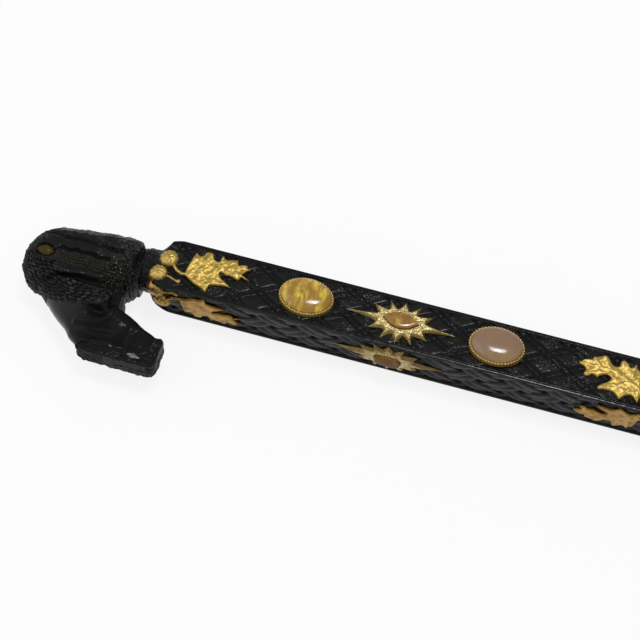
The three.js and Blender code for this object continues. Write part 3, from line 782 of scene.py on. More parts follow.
def shaft_piece():
    """The block with its carved faces and necks, and the tapered run below it with two turned rings."""
    s = settings().shaft
    stations, angles, per_side = shaft_grid()
    x, a = [g.ravel() for g in np.meshgrid(stations, angles, indexing="ij")]
    neck, end = mm(s.neck_length), mm(s.neck_length * 2 + s.block_length)
    edge, below = mm(s.block_half - s.border), x > end
    half, power = shoulder_section(x, a, s)
    taper = np.clip((x - end) / (mm(SHAFT_END) - end), 0, 1)
    half = np.where(below, mix(mm(s.neck_radius), mm(s.tip_radius), taper), half)
    power = np.where(below, 2.0, power)
    c, t = np.cos(a), np.sin(a)
    reach = (np.abs(c) ** power + np.abs(t) ** power) ** (-1 / power) * half
    y, z = -reach * t, reach * c
    hollow, stipple = np.zeros(len(x)), np.zeros(len(x))
    turns = {name: turn for name, turn, _ in FACES}
    for k, name in enumerate(("top", "near", "under", "far")):
        mine = (np.arange(len(x)) % len(angles)) // per_side == k
        co, si = math.cos(turns[name]), math.sin(turns[name])
        xs, v, w = x[mine], y[mine] * co + z[mine] * si, z[mine] * co - y[mine] * si
        level, deep, dots = (crossing_bands if name == "top" else weave)(xs, v, s)
        on_block = smoothstep(neck + 3, neck + 9, xs) * smoothstep(end - neck - 3, end - neck - 9, xs)
        field = face_level() + mm(s.carve_depth) * level * mix(0.35, 1, on_block)
        border = mm(s.block_half) - np.interp(np.abs(v), *EDGE_PROFILE)
        border += (name == "top") * (v < 0) * 0.06 * (noise(np.column_stack([xs, v * 0.1]), 1.6, 63) - 0.5)
        in_field = np.abs(v) < edge
        cover = np.where(in_field, field, np.where(xs < end, border, np.inf))
        strokes = (noise(np.column_stack([xs * 0.16, a[mine] * 7]), 0.55, 61) - 0.5) * 0.75
        carved = np.minimum(w, cover) + strokes * (smoothstep(14, 7, xs) * smoothstep(0.0, 0.8, xs))
        y[mine], z[mine] = v * co - carved * si, v * si + carved * co
        inside = (w > field) & in_field & (xs < end)
        # Painted shade: hollow darkens the carved field's cuts and gaps.
        hollow[mine], stipple[mine] = deep * inside, dots * inside
    ring_cuts = sum(np.exp(-((x - end - spot) / 0.45) ** 2) for spot in TURNED_RINGS)
    shrink = 1 - 0.03 * ring_cuts * below
    points = np.column_stack([x, y * shrink, z * shrink])
    shell, faces = ring_shell(points.reshape(len(stations), len(angles), 3))
    mesh = build_mesh("shaft_skin", place(shell), faces)
    for name, values in (("hollow", hollow), ("stipple", stipple), ("polish_and_sheen", 0.25 * below)):
        paint(mesh, name, np.pad(values, (0, len(shell) - len(x))))
    add_piece("carved_shaft", mesh, "Carved Lacquer", "black_lacquer", "shaft")


# ---------------------------------------------------------------- handle

# Lines of the carving on the head and grip, seen from above: (path, width, height), in millimetres.
CARVED_LINES = (
    (((-46, -1.4), (-38, -2.3), (-27, -2.1), (-18, -2.6), (-9, -3.4)), 1.25, -1.7),
    (((-49, -5.6), (-44, -5.2), (-36, -5.6), (-26, -5.4), (-16, -5.8), (-8, -6.6)), 1.5, 0.7),
    (((-39.5, -10.2), (-36, -8.1), (-33, -9.0), (-30, -7.9), (-27, -8.9), (-23, -8.0), (-19, -9.1), (-14, -8.5)),
     0.85, -1.4),
    (((-39, -18.8), (-32, -18.0), (-25, -17.0), (-18, -16.3), (-12, -15.2), (-7, -14.2)), 0.75, 0.9),
    (((-36, -20.6), (-30, -21.5), (-25, -22.3), (-20, -23.0), (-15, -22.4), (-11, -21.4)), 0.75, 0.7),
    (((-45, -27.0), (-41, -29.6), (-35, -31.4), (-28, -31.9), (-20, -31.3), (-12, -30.0)), 0.7, 0.8),
    (((-5.6, -18.5), (-5.0, -27), (-5.5, -33), (-7.2, -36.2), (-12, -38.6), (-21, -39.4)), 1.5, 0.95),
    (((-5.4, -19.0), (-5.2, -23.0), (-5.5, -27.5)), 0.8, 0.8),
    (((-8.0, -19.5), (-7.7, -25), (-7.4, -30)), 1.0, -1.3),
    (((-10.2, -20), (-10.0, -25), (-9.2, -29.5)), 0.6, 0.5),
    (((-2.2, -24), (-1.4, -32), (-1.2, -41)), 2.2, 0.5),
    (((3.6, -45), (4.6, -40), (6.4, -35)), 1.6, -0.7),
    (((-24, -43.9), (-16, -43.3), (-8, -43.7), (-1, -42.9)), 1.5, 0.55),
    (((-16, -46.8), (-6, -47.3), (4, -47.2)), 1.2, 0.45),
    (((-11, -45.5), (-3, -45.6), (4, -46.0)), 1.1, -0.6),
)
# Pockets between the ridges of the grip: (x, y, half length, half height, depth), in millimetres.
GRIP_POCKETS = (
    (-12.2, -33.3, 5.8, 3.2, 3.2),
    (-7.8, -40.9, 8.4, 2.4, 1.1),
    (13.0, -41.0, 8.0, 5.6, 1.0),
)
# Patches of pimpled skin on the head, which carry painted glint specks: (x, y, reach), in millimetres.
PIMPLED_SPOTS = ((-37, -1.6, 1.6), (-19, -1.8, 2.2), (-18.5, -7.2, 1.6), (-8, 0.6, 3.0), (-7.5, -8.2, 4.6),
                 (-40, -11.2, 1.8))
MOUTH_LINE = ((-38, -19.8), (-30, -20.0), (-22, -19.9), (-14, -19.0), (-7, -18.2))
MOUTH_HALF_HEIGHT = 2.3
MOUTH_DEPTH = 2.6
EYE_PLACE = (-44.6, -11.6)
# The worn facet on the grip's rim: its middle seen from above and its level, in millimetres.
WORN_FACET = (10.0, -48.2, 6.3)
# The jaw's lower edge seen from above: places along the stick and across it, in millimetres.
JAW_EDGE = ((-60, -45, -41, -35, -28, -20, -12, -8, -5), (-27.5, -27.6, -30.2, -32.0, -32.5, -31.9, -30.4, -21, -16.5))
# The grip's two edges, as places across the stick and along it in millimetres, and its thickness there as a share.
GRIP_BACK = ((-50.0, -47.0, -44.7, -42.4, -40.2, -38.1, -35.6, -32.2, -28.3, -25.0, -18.0, -8.0),
             (-16.5, -19.8, -23.8, -25.6, -27.6, -30.7, -34.1, -37.8, -41.8, -45.2, -47.0, -46.0))
GRIP_FRONT = ((-50.0, -46.0, -38.0, -35.4, -34.5, -33.2, -30.9, -29.3, -28.5, -27.8, -26.5, -22.0, -18.0, -8.0),
              (20.0, 20.6, 20.4, 17.5, 14.0, 11.2, 7.2, 4.2, 1.6, -2.2, -3.4, -3.8, -4.6, -9.0))
GRIP_THICK = ((-50.0, -49.0, -46.6, -44.0, -40.4, -36.6, -34.4, -32.3, -29.3, -26.9, -17.8, -8.0),
              (0.30, 0.40, 0.52, 0.67, 0.79, 0.88, 0.93, 0.97, 0.99, 1.0, 1.0, 0.9))
RIM_OUTLINE = ((-18.0, -47.9), (-18.1, -50.0), (-15.0, -51.2), (-8.0, -51.6), (0.0, -51.8), (16.4, -51.8),
               (19.0, -51.0), (20.3, -49.4), (20.8, -46.0), (20.8, -37.6), (20.2, -36.0), (18.4, -35.5),
               (17.2, -36.0), (16.8, -38.0), (17.2, -44.0), (15.4, -47.0), (12.0, -47.9))


def rounded_ring(count, power):
    """Directions round a rounded square, evenly turned, as two rows."""
    c, s = np.cos(round_angles(count)), np.sin(round_angles(count))
    reach = (np.abs(c) ** power + np.abs(s) ** power) ** (-1 / power)
    return reach * c, reach * s


def head_rings(s):
    """Sections of the head from its blunt end to the neck."""
    count, end, ground = 96, -mm(s.head_length), -mm(JOINT[2])
    places = (end + 18 * np.linspace(0, 1, 40) ** 2, np.linspace(end + 18.5, -5, 40), np.linspace(-4.8, -0.05, 24))
    rings = []
    for x in np.concatenate(places):
        along = (x - end) / (55 * mm(s.head_length) / 57)
        near_cap, far_cap = round_end((x - end) / 16 + 0.004, 2.2), round_end((x - end) / 18.5 + 0.003, 1.75)
        near_full, far_full = round_end((-0.3 - x) / 3.6, 2.4), round_end((-3.3 - x) / 5.0, 2.2)
        half, middle = mix(mm(s.head_width) / 2, 12.9, along), mix(-10.7, -1.9, along)
        near_edge = mix(-9.9, middle - half * near_cap, near_full)
        far_edge = mix(9.4, middle + half * far_cap, far_full)
        high = mix(10.1, mm(s.head_height), round_end((-2.8 - x) / 8.5, 2.3)) * near_cap
        across, up = rounded_ring(count, mix(2.0, 2.6, near_full))
        spread_across = (near_edge + far_edge) / 2 + (far_edge - near_edge) / 2 * across
        rings.append(np.column_stack([np.full(count, x), spread_across, np.maximum(high * up, ground)]))
    return rings


def round_end(t, power):
    """From 0 to 1 like the side of a rounded end."""
    return (1 - (1 - np.clip(t, 0, 1)) ** power) ** (1 / power)


def grip_rings(s):
    """Sections of the hooked grip, from inside the head to its rim."""
    edges = [eased_table(table) for table in (GRIP_BACK, GRIP_FRONT, GRIP_THICK)]
    along, up = rounded_ring(72, 2.5)
    rings = []
    for y in np.linspace(-8.0, -50.0, 120):
        back, front, thick = [np.interp(y, *table) for table in edges]
        x = (back + front) / 2 + (front - back) / 2 * along
        rings.append(np.column_stack([x, np.full(len(x), y), thick * mm(s.grip_height) * up]))
    return rings


def rim_rings(s):
    """The rough rim's plate: its outline, drawn in a little at both faces."""
    outline = np.array(even_outline(list(RIM_OUTLINE), 0.8))
    middle, high = np.array([4.0, -46.0]), mm(s.rim_half_height)
    below = ((-high, 0.955), (-high + 0.35, 0.985), (-high + 1.0, 1.0))
    above = tuple((-z, share_kept) for z, share_kept in reversed(below))
    return [np.column_stack([middle + (outline - middle) * share_kept, np.full(len(outline), z)])
            for z, share_kept in (*below, (0, 1.0), *above)]


def eased_table(table):
    """The table's rows smoothed over a finer grid, so that its corners don't show."""
    places, values = np.array(table[0]), np.array(table[1])
    fine = np.linspace(places[0], places[-1], 240)
    drawn = np.interp(fine, places, values)
    weights = np.exp(-(np.arange(-9, 10) / 4.0) ** 2)
    padded = np.concatenate([np.full(9, drawn[0]), drawn, np.full(9, drawn[-1])])
    return fine, np.convolve(padded, weights / weights.sum(), "valid")


def handle_skin():
    """One fine even skin over the head, the grip and the rim."""
    s = settings().handle
    points, faces, count = [], [], 0
    for rings in (head_rings(s), grip_rings(s), rim_rings(s)):
        shell, tiles = ring_shell(rings)
        points.append(place(shell))
        faces += [tuple(i + count for i in tile) for tile in tiles]
        count += len(shell)
    core = bpy.data.meshes.new("handle_core")
    core.from_pydata(np.concatenate(points).tolist(), [], faces)
    holder = bpy.data.objects.new("handle_core", core)
    bpy.context.scene.collection.objects.link(holder)
    remesh = holder.modifiers.new("Skin", "REMESH")
    remesh.mode = "VOXEL"
    remesh.voxel_size = s.skin_cell * 1
    graph = bpy.context.evaluated_depsgraph_get()
    skin = bpy.data.meshes.new_from_object(holder.evaluated_get(graph))
    bpy.data.objects.remove(holder)
    bpy.data.meshes.remove(core)
    skin.name = "handle_skin"
    return skin


def read_skin(mesh):
    points = np.empty(len(mesh.vertices) * 3)
    mesh.vertices.foreach_get("co", points)
    edges = np.empty(len(mesh.edges) * 2, np.int64)
    mesh.edges.foreach_get("vertices", edges)
    return (points.reshape(-1, 3) - JOINT) / MM, edges.reshape(-1, 2)


def relax(points, edges, rounds):
    """Eases the facets out of a skin by moving each point towards its neighbours."""
    count = np.bincount(edges.ravel(), minlength=len(points))[:, None]
    one, other = edges.T
    for _ in range(rounds):
        total = [np.bincount(one, points[other, axis], len(points)) + np.bincount(other, points[one, axis], len(points))
                 for axis in range(3)]
        points = mix(points, np.column_stack(total) / count, 0.6)
    return points


def skin_normals(mesh, points):
    mesh.vertices.foreach_set("co", place(points).ravel())
    mesh.update()
    normals = np.empty(len(points) * 3)
    mesh.vertex_normals.foreach_get("vector", normals)
    return normals.reshape(-1, 3)


def head_band(flat):
    """How far a point seen from above lies on the head rather than on the grip, from 0 to 1."""
    x, y = flat.T
    return smoothstep(-0.5, 0.4, y - np.interp(x, *JAW_EDGE)) * smoothstep(-0.2, -1.6, x)


def carve_head(points, s):
    """Relief and paint of the head: scale rows round its end and jaw, cheek, brow, streaks and pimpled patches, and the
    patches of painted sheen on the scale crests.
    """
    x, y, z = points.T
    flat = points[:, :2]
    wob = (rough_noise(flat, 6.0, 71) - 0.5) * 2
    bent = flat + np.column_stack([wob, (noise(flat, 5.0, 73) - 0.5) * 1.2])
    from_mouth = flat - (-25, 5)
    turn = np.arctan2(from_mouth[:, 1], from_mouth[:, 0])
    reach = np.hypot(*from_mouth.T)
    across = reach - np.abs(z) + 0.5 * wob + 0.8 * (noise(flat, 2.6, 79) - 0.5)
    rows = scale_rows(turn * 30 + 0.2 * across + 0.5 * wob, across, mm(s.scale_long), mm(s.scale_high), 81)

    jaw = smoothstep(-20.5, -22.8, y + 0.12 * (x + 25)) * smoothstep(-10, -17, x)
    end = smoothstep(-41.5, -47, x) * smoothstep(10.0, 0.5, y)
    flank = smoothstep(13.5, 11.5, np.abs(z)) * smoothstep(-8, -14, y) * smoothstep(-6, -14, x)
    cheek_low = smoothstep(-15.0, -16.5, y) * smoothstep(-34, -40, x)
    around_eye = smoothstep(1.5, 2.6, np.hypot((x - EYE_PLACE[0]) / 1.5, y - EYE_PLACE[1]) / 2.0)
    scaled = np.clip(np.maximum.reduce([jaw, end, flank, cheek_low]), 0, 1) * around_eye
    relief = 1.6 * mm(s.scale_relief) * scaled * (rows - 0.62)

    cheek = smoothstep(-15.8, -14.8, y) * smoothstep(-9.4, -10.4, y) * smoothstep(-41, -37, x) * smoothstep(-3, -7, x)
    small = scale_rows(bent[:, 0] + 0.3 * bent[:, 1], bent[:, 1], 2.2, 1.3, 83)
    relief += 0.9 * mm(s.scale_relief) * cheek * (small - 0.6)

    pimpled = smoothstep(-19, -9, x) * smoothstep(-3, -9, y) * smoothstep(-32, -28, y)
    for px, py, size in PIMPLED_SPOTS:
        pimpled = np.maximum(pimpled, np.exp(-(((x - px) / 1.3) ** 2 + (y - py) ** 2) / size ** 2))
    pimpled *= smoothstep(-0.4, -1.2, x)
    relief += 0.85 * pimpled * (lumps(flat, 1.15, 91, 0.9) - 0.55)

    crown = smoothstep(-9, -6, y)
    streaks = rough_noise(np.column_stack([x * 0.8, y * 0.35]), 1.4, 93)
    knots = rough_noise(flat, 5.0, 95)
    relief += crown * (0.5 * (streaks - 0.5) + 0.9 * (knots - 0.5))
    relief += 0.9 * (rough_noise(points, 3.0, 97) - 0.5) * (1 - 0.6 * scaled)

    dome = np.hypot((x - EYE_PLACE[0]) / 1.55, y - EYE_PLACE[1]) / 2.7
    brow = 0.75 * np.exp(-((dome - 1.5) / 0.22) ** 2) * smoothstep(-2, 1, y - EYE_PLACE[1])
    relief += brow - np.exp(-((dome - 1.12) / 0.14) ** 2)
    relief -= 1.5 * smoothstep(1.12, 0.95, dome)
    tint = np.clip(cheek + 0.4 * pimpled * smoothstep(-8, -14, y), 0, 1)
    # Painted sheen: patches of the scale crests, to be painted lighter.
    crest_sheen = scaled * smoothstep(0.62, 0.85, rows) * smoothstep(0.35, 0.6, noise(flat, 3.1, 99))
    return relief, tint, pimpled, crest_sheen


def carve_from_above(points):
    """Lines, pockets and the mouth on the broad faces, the same above and below."""
    flat = points[:, :2]
    x, y = flat.T
    bent = flat + np.column_stack([(noise(flat, 4.0, 75) - 0.5) * 1.4, (noise(flat, 3.4, 77) - 0.5) * 0.9])
    relief = np.zeros(len(x))
    for path, width, height in CARVED_LINES:
        relief += height * ridge(bent, path, width)
    for px, py, rx, ry, depth in GRIP_POCKETS:
        well = (np.abs((x - px) / rx) ** 2.6 + np.abs((y - py) / ry) ** 2.6) ** (1 / 2.6)
        relief -= depth * smoothstep(1.15, 0.15, well)
    opening = np.interp(x, [-39, -33, -24, -14, -7], [0.1, 0.55, 1.0, 0.95, 0.7]) * MOUTH_HALF_HEIGHT
    mouth = np.clip(1 - (path_distance(bent, MOUTH_LINE) / opening) ** 2, 0, 1)
    mouth *= smoothstep(-39, -34, x) * smoothstep(-4.5, -8, x)
    return relief - MOUTH_DEPTH * mouth ** 0.7, mouth


def carve_rim(points, s):
    """Bark-like lumps on the rim along the grip's outer edge and up its toe."""
    x, y, z = points.T
    outer = smoothstep(-47.5, -48.1, y) * smoothstep(-19.5, -18.5, x)
    toe = smoothstep(16.6, 17.4, x) * smoothstep(-34.6, -35.4, y)
    on_rim = np.maximum(outer, toe) * smoothstep(mm(s.rim_half_height) + 0.5, mm(s.rim_half_height) - 0.1, np.abs(z))
    chunks = rough_noise(points, 3.0, 101, 2)
    bark = lumps(np.column_stack([x + 0.7 * z, z - y * 0.4]), 1.7, 103)
    depth = mm(s.rim_relief) * (1.2 * (chunks - 0.5) + 0.45 * (bark - 0.5))
    return on_rim, depth


def handle_piece():
    """The head, grip and rim in one skin: carved along its normals, then cut flat at the joint and underneath."""
    s = settings().handle
    mesh = handle_skin()
    raw, edges = read_skin(mesh)
    points = relax(raw, edges, 8)
    normals = skin_normals(mesh, points)

    broad = smoothstep(0.30, 0.62, np.abs(normals[:, 2]))
    on_head = head_band(points[:, :2]) * (1 - (1 - broad) * smoothstep(-29.5, -31.5, points[:, 1]))
    lines, mouth = carve_from_above(points)
    scales, tint, pimpled, crest_sheen = carve_head(points, s)
    on_rim, rough = carve_rim(points, s)

    into_flank = smoothstep(0.02, 0.3, np.abs(normals[:, 2])) * smoothstep(0.5, -0.2, normals[:, 0])
    relief = lines * np.maximum(broad, 0.6 * into_flank * (mouth > 0))
    relief += scales * on_head
    relief += 0.16 * (rough_noise(points, 2.2, 119) - 0.5) * (1 - on_head)
    relief = relief * (1 - on_rim) + rough * on_rim
    relief *= smoothstep(-0.25, -1.4, points[:, 0]) * (points[:, 1] > -14) + (points[:, 1] <= -14)
    groove = np.exp(-((points[:, 0] + 2.3) / 0.55) ** 2) * (points[:, 1] > -12.5)
    relief -= 0.7 * groove
    relief *= 1 - smoothstep(-16.3, -16.78, points[:, 2]) * smoothstep(-0.8, -0.95, normals[:, 2])
    points = points + normals * relief[:, None]
    spin = np.arctan2(points[:, 1], points[:, 2])
    strokes = noise(np.column_stack([points[:, 0] * 0.3, spin * 8]), 0.6, 121) - 0.5
    on_neck = smoothstep(-2.6, -1.6, points[:, 0]) * (points[:, 1] > -12)
    points[:, 1:] *= (1 + 0.05 * strokes * on_neck)[:, None]

    points[:, 0] = np.where((normals[:, 0] > 0.7) & (points[:, 0] > -1.5) & (points[:, 1] > -12), 0, points[:, 0])
    along, across = points[:, 0] - WORN_FACET[0], points[:, 1] - WORN_FACET[1]
    worn = smoothstep(1.25, 0.8, np.hypot(along / 4.0, across / 1.5)) * (points[:, 2] > 0)
    facet = WORN_FACET[2] + 0.124 * across - 0.182 * along + 0.07 * (noise(points[:, :2], 1.2, 123) - 0.5)
    points[:, 2] = mix(points[:, 2], facet, worn)

    low, high = node_box("handle")
    low[0], low[2] = -mm(s.head_length), -mm(JOINT[2])
    points = np.clip(points, low, high)
    skin_normals(mesh, points)
    mesh.polygons.foreach_set("use_smooth", [True] * len(mesh.polygons))
    on_grip = (1 - on_head) * (1 - on_rim) * smoothstep(-18, -21, points[:, 1])
    # Painted shade: the cuts, the mouth, the grip's right side and the rim are painted darker through the hollow paint.
    cuts = np.clip(-relief * 0.9, 0, 1)
    shaded = np.maximum(0.7 * on_grip * smoothstep(-24, -12, points[:, 0]), 0.6 * on_rim)
    paint(mesh, "hollow", np.clip(np.maximum.reduce([cuts * (1 - 0.5 * on_grip), mouth, shaded]), 0, 1))
    paint(mesh, "tint", np.clip(tint * broad * on_head, 0, 1))
    # The stipple paint also places the painted glint specks and the brightened dust.
    paint(mesh, "stipple", np.clip((0.9 * pimpled + 0.35 * crest_sheen) * on_head, 0, 1))
    # Painted sheen: the grip's left side and the head's scale crests are painted lighter, where light falls on them.
    painted_sheen = 0.85 * on_grip * smoothstep(-20, -36, points[:, 0]) + 0.9 * crest_sheen * on_head
    paint(mesh, "polish_and_sheen", painted_sheen)
    add_piece("carved_handle", mesh, "Scaly Lacquer", "black_lacquer", "handle")


def eye_piece(node):
    """An almond eye: a domed stone with pointed corners, on its node's own place."""
    low, high = node_box(node)
    middle, half = (low + high) / 2, (high - low) / 2
    middle[:2] = EYE_PLACE
    side = 1 if middle[2] > 0 else -1
    spin = round_angles(48)
    across = np.sin(spin) * (1 - 0.35 * np.abs(np.cos(spin)) ** 3)
    rings = []
    for rise in np.linspace(-0.49, 0.49, 25) * math.pi:
        flat, tall = math.cos(rise), math.sin(rise) * side
        ring = np.column_stack([np.cos(spin) * flat, across * flat, np.full(48, tall)])
        rings.append(middle + ring * half * (1.06, 1.16, 1))
    points, faces = ring_shell(rings)
    mesh = build_mesh(f"{node}_skin", place(points), faces)
    add_piece(f"amber_{node}", mesh, "Dark Eye Stone", "amber_stone", node)


# ---------------------------------------------------------------- starbursts, leaves, acorns

CUSHION_POWER = 3.6  # squareness of the side faces' stones
STONE_GAP = 0.15  # between a cut stone and its collar, in millimetres
# A quarter of the starburst's outline, as shares of its half length and half width.
STAR_SHARES = ((1, 0.015), (0.70, 0.095), (0.45, 0.215), (0.54, 0.57), (0.275, 0.49), (0.285, 0.92), (0.107, 0.60),
               (0, 1))
# The leaves at both ends of a face and their veins, as shares of the leaf's length and half width.
HEAD_LEAF = (
    (0.0, -0.31), (0.005, -0.06), (0.015, 0.14), (0.03, 0.4), (0.04, 0.52), (0.075, 0.84), (0.105, 0.72), (0.15, 0.7),
    (0.19, 0.74), (0.205, 0.94), (0.27, 1.0), (0.335, 0.95), (0.355, 0.78), (0.38, 0.68), (0.45, 0.62), (0.47, 0.84),
    (0.495, 1.0), (0.53, 0.86), (0.58, 0.84), (0.65, 0.9), (0.735, 0.97), (0.748, 0.82), (0.765, 0.72), (0.83, 0.78),
    (0.9, 0.84), (0.91, 0.74), (0.925, 0.68), (0.975, 0.62), (0.92, 0.52), (0.89, 0.42), (0.865, 0.29), (0.93, 0.2),
    (1.0, 0.11), (0.93, 0.13), (0.87, 0.18), (0.85, 0.08), (0.83, -0.02), (0.76, 0.04), (0.69, 0.1), (0.62, 0.06),
    (0.56, 0.16), (0.525, 0.15), (0.52, 0.04), (0.57, -0.12), (0.63, -0.22), (0.7, -0.36), (0.76, -0.46), (0.64, -0.47),
    (0.52, -0.52), (0.43, -0.6), (0.42, -0.8), (0.405, -1.0), (0.37, -0.92), (0.34, -0.86), (0.27, -0.79),
    (0.235, -0.76), (0.17, -0.68), (0.13, -0.6), (0.07, -0.52), (0.02, -0.45), (-0.06, -0.44), (-0.14, -0.36),
    (-0.2, -0.22),
    (-0.25, 0.0), (-0.21, 0.1), (-0.17, -0.06), (-0.12, -0.2), (-0.06, -0.29),
)
TIP_LEAF = (
    (0, -0.31), (0.02, -0.1), (0.03, 0.15), (0.045, 0.4), (0.093, 0.639), (0.123, 0.703), (0.157, 0.884), (0.17, 0.848),
    (0.191, 0.716), (0.226, 0.667), (0.253, 0.729), (0.276, 0.825), (0.304, 0.887), (0.347, 0.941), (0.388, 0.881),
    (0.392, 0.763), (0.399, 0.608), (0.424, 0.542), (0.47, 0.534), (0.525, 0.638), (0.558, 0.775), (0.591, 0.898),
    (0.641, 0.946), (0.683, 0.886), (0.767, 0.766), (0.812, 0.749), (0.816, 0.61), (0.822, 0.58), (0.876, 0.576),
    (0.927, 0.533), (0.96, 0.465), (1.0, 0.3), (0.987, 0.218), (0.932, 0.214), (0.896, 0.145), (0.872, 0.031),
    (0.895, -0.068), (0.904, -0.145), (0.888, -0.246), (0.834, -0.251), (0.801, -0.174), (0.776, -0.103),
    (0.729, -0.114), (0.684, -0.191), (0.654, -0.086), (0.62, -0.023), (0.541, 0.043), (0.487, -0.012),
    (0.476, -0.101), (0.492, -0.189),
    (0.543, -0.33), (0.623, -0.486), (0.658, -0.624), (0.636, -0.753), (0.56, -0.7), (0.471, -0.664), (0.392, -0.697),
    (0.343, -0.828), (0.303, -0.952), (0.27, -0.89), (0.222, -0.713), (0.152, -0.62), (0.094, -0.685), (0.061, -0.814),
    (0.031, -0.911), (0.007, -0.828), (-0.007, -0.6), (-0.02, -0.45), (-0.06, -0.44), (-0.14, -0.36), (-0.2, -0.22),
    (-0.25, 0.0), (-0.21, 0.1), (-0.17, -0.06), (-0.12, -0.2), (-0.06, -0.29),
)
HEAD_VEINS = (
    ((0.0, -0.38), (0.25, -0.16), (0.55, 0.2), (0.8, 0.34), (0.96, 0.13)),
    ((0.2, -0.2), (0.16, 0.3), (0.1, 0.72)), ((0.3, -0.1), (0.28, 0.45), (0.27, 0.9)),
    ((0.45, 0.08), (0.48, 0.5), (0.5, 0.88)), ((0.6, 0.25), (0.68, 0.6), (0.73, 0.88)),
    ((0.72, 0.32), (0.84, 0.55), (0.93, 0.62)),
    ((0.2, -0.2), (0.3, -0.55), (0.39, -0.9)), ((0.35, -0.05), (0.5, -0.3), (0.68, -0.42)),
)
TIP_VEINS = (
    ((-0.02, -0.38), (0.2, -0.05), (0.45, 0.28), (0.7, 0.3), (0.98, 0.32)),
    ((0.2, -0.05), (0.17, 0.4), (0.16, 0.8)), ((0.3, 0.1), (0.34, 0.5), (0.35, 0.88)),
    ((0.5, 0.3), (0.6, 0.6), (0.64, 0.88)), ((0.65, 0.3), (0.75, 0.5), (0.81, 0.7)),
    ((0.7, 0.28), (0.82, 0.05), (0.86, -0.2)), ((0.2, -0.05), (0.35, -0.35), (0.6, -0.65)),
    ((0.12, -0.2), (0.22, -0.55), (0.3, -0.9)), ((0.05, -0.35), (0.04, -0.6), (0.03, -0.88)),
)


def star_outline(long, wide):
    quarter = [(a * long / 2, b * wide / 2) for a, b in STAR_SHARES]
    half = quarter + [(-x, y) for x, y in reversed(quarter[:-1])]
    return half + [(x, -y) for x, y in reversed(half)]


def oval_distance(spots, long, wide, power):
    """Roughly how far flat points lie outside a rounded outline, in millimetres."""
    x, y = np.abs(spots[:, 0]) / long, np.abs(spots[:, 1]) / wide
    return ((x ** power + y ** power) ** (1 / power) - 1) * min(long, wide)


def navette_halfwidth(x, long, wide):
    return wide * (1 - np.clip(np.abs(x) / long, 0, 1) ** 2)


def stone_half_size(jewelled):
    """Half the length and width of a starburst's stone, in millimetres."""
    o = settings().ornament
    if jewelled > 0:
        return mm(o.navette_length) / 2, mm(o.navette_width) / 2
    return mm(o.cushion_length) / 2, mm(o.cushion_width) / 2


def stone_edge(spots, jewelled):
    """Distance outside the starburst's stone, in millimetres, negative within it."""
    long, wide = stone_half_size(jewelled)
    if jewelled > 0:
        beside = np.abs(spots[:, 1]) - navette_halfwidth(spots[:, 0], long, wide)
        over = np.maximum(np.abs(spots[:, 0]) - long, 0)
        return np.hypot(beside, over) * np.sign(np.maximum(beside, over - 1e-6)) * 0.9
    return oval_distance(spots, long, wide, CUSHION_POWER)


def star_piece(name, turn, jewelled):
    """A rayed plate with a grainy face and a beaded collar round its stone."""
    o = settings().ornament
    level, top = face_level(), mm(o.star_height)

    def grains_at(spots):
        return lumps(spots + 40, 0.62, 121)

    def height_of(spots, depth):
        roof = np.minimum(depth * 1.15, top - 0.25)
        grains = grains_at(spots) * 0.12 + 0.20 * noise(spots + 40, 1.3, 123)
        collar = np.exp(-((stone_edge(spots, jewelled) - 0.45) / 0.40) ** 2)
        beads = 0.4 + 0.6 * np.abs(np.cos(np.arctan2(spots[:, 1] * 1.6, spots[:, 0]) * 17))
        return level + 0.1 + roof + grains * np.minimum(1, depth * 1.4) + 0.55 * collar * beads

    outline = soften_outline(star_outline(mm(o.star_length), mm(o.star_width)), 0.04)
    points, faces = relief_plate(outline, PLATE_STEP, height_of, level - SUNK_FOOT)
    spots = points[:, :2].copy()
    depth, grains = path_distance(spots, outline + outline[:1]), grains_at(spots)
    collar = np.exp(-((stone_edge(spots, jewelled) - 0.45) / 0.5) ** 2)
    speck = smoothstep(0.5, 0.75, noise(spots + 40, 0.8, 125))
    hollow = 0.35 * smoothstep(0.25, 0.02, depth) + 0.5 * speck * (1 - 0.7 * collar)
    points[:, 0] += star_middle(jewelled)
    mesh = build_mesh(f"{name}_star_skin", place(face_place(points, turn)), faces)
    paint(mesh, "hollow", np.clip(hollow, 0, 1))
    paint(mesh, "rubbed", np.clip(0.7 * grains * smoothstep(0.9, 1.5, depth) + 0.6 * collar * grains, 0, 1))
    # The plain faces' starbursts take the darker gilt copy, as painted shade.
    finish = "Grainy Pale Gilt" if name == "top" else "Grainy Dull Gilt"
    add_piece(f"{name}_starburst", mesh, finish, "pale_gilt", f"{name}_star")


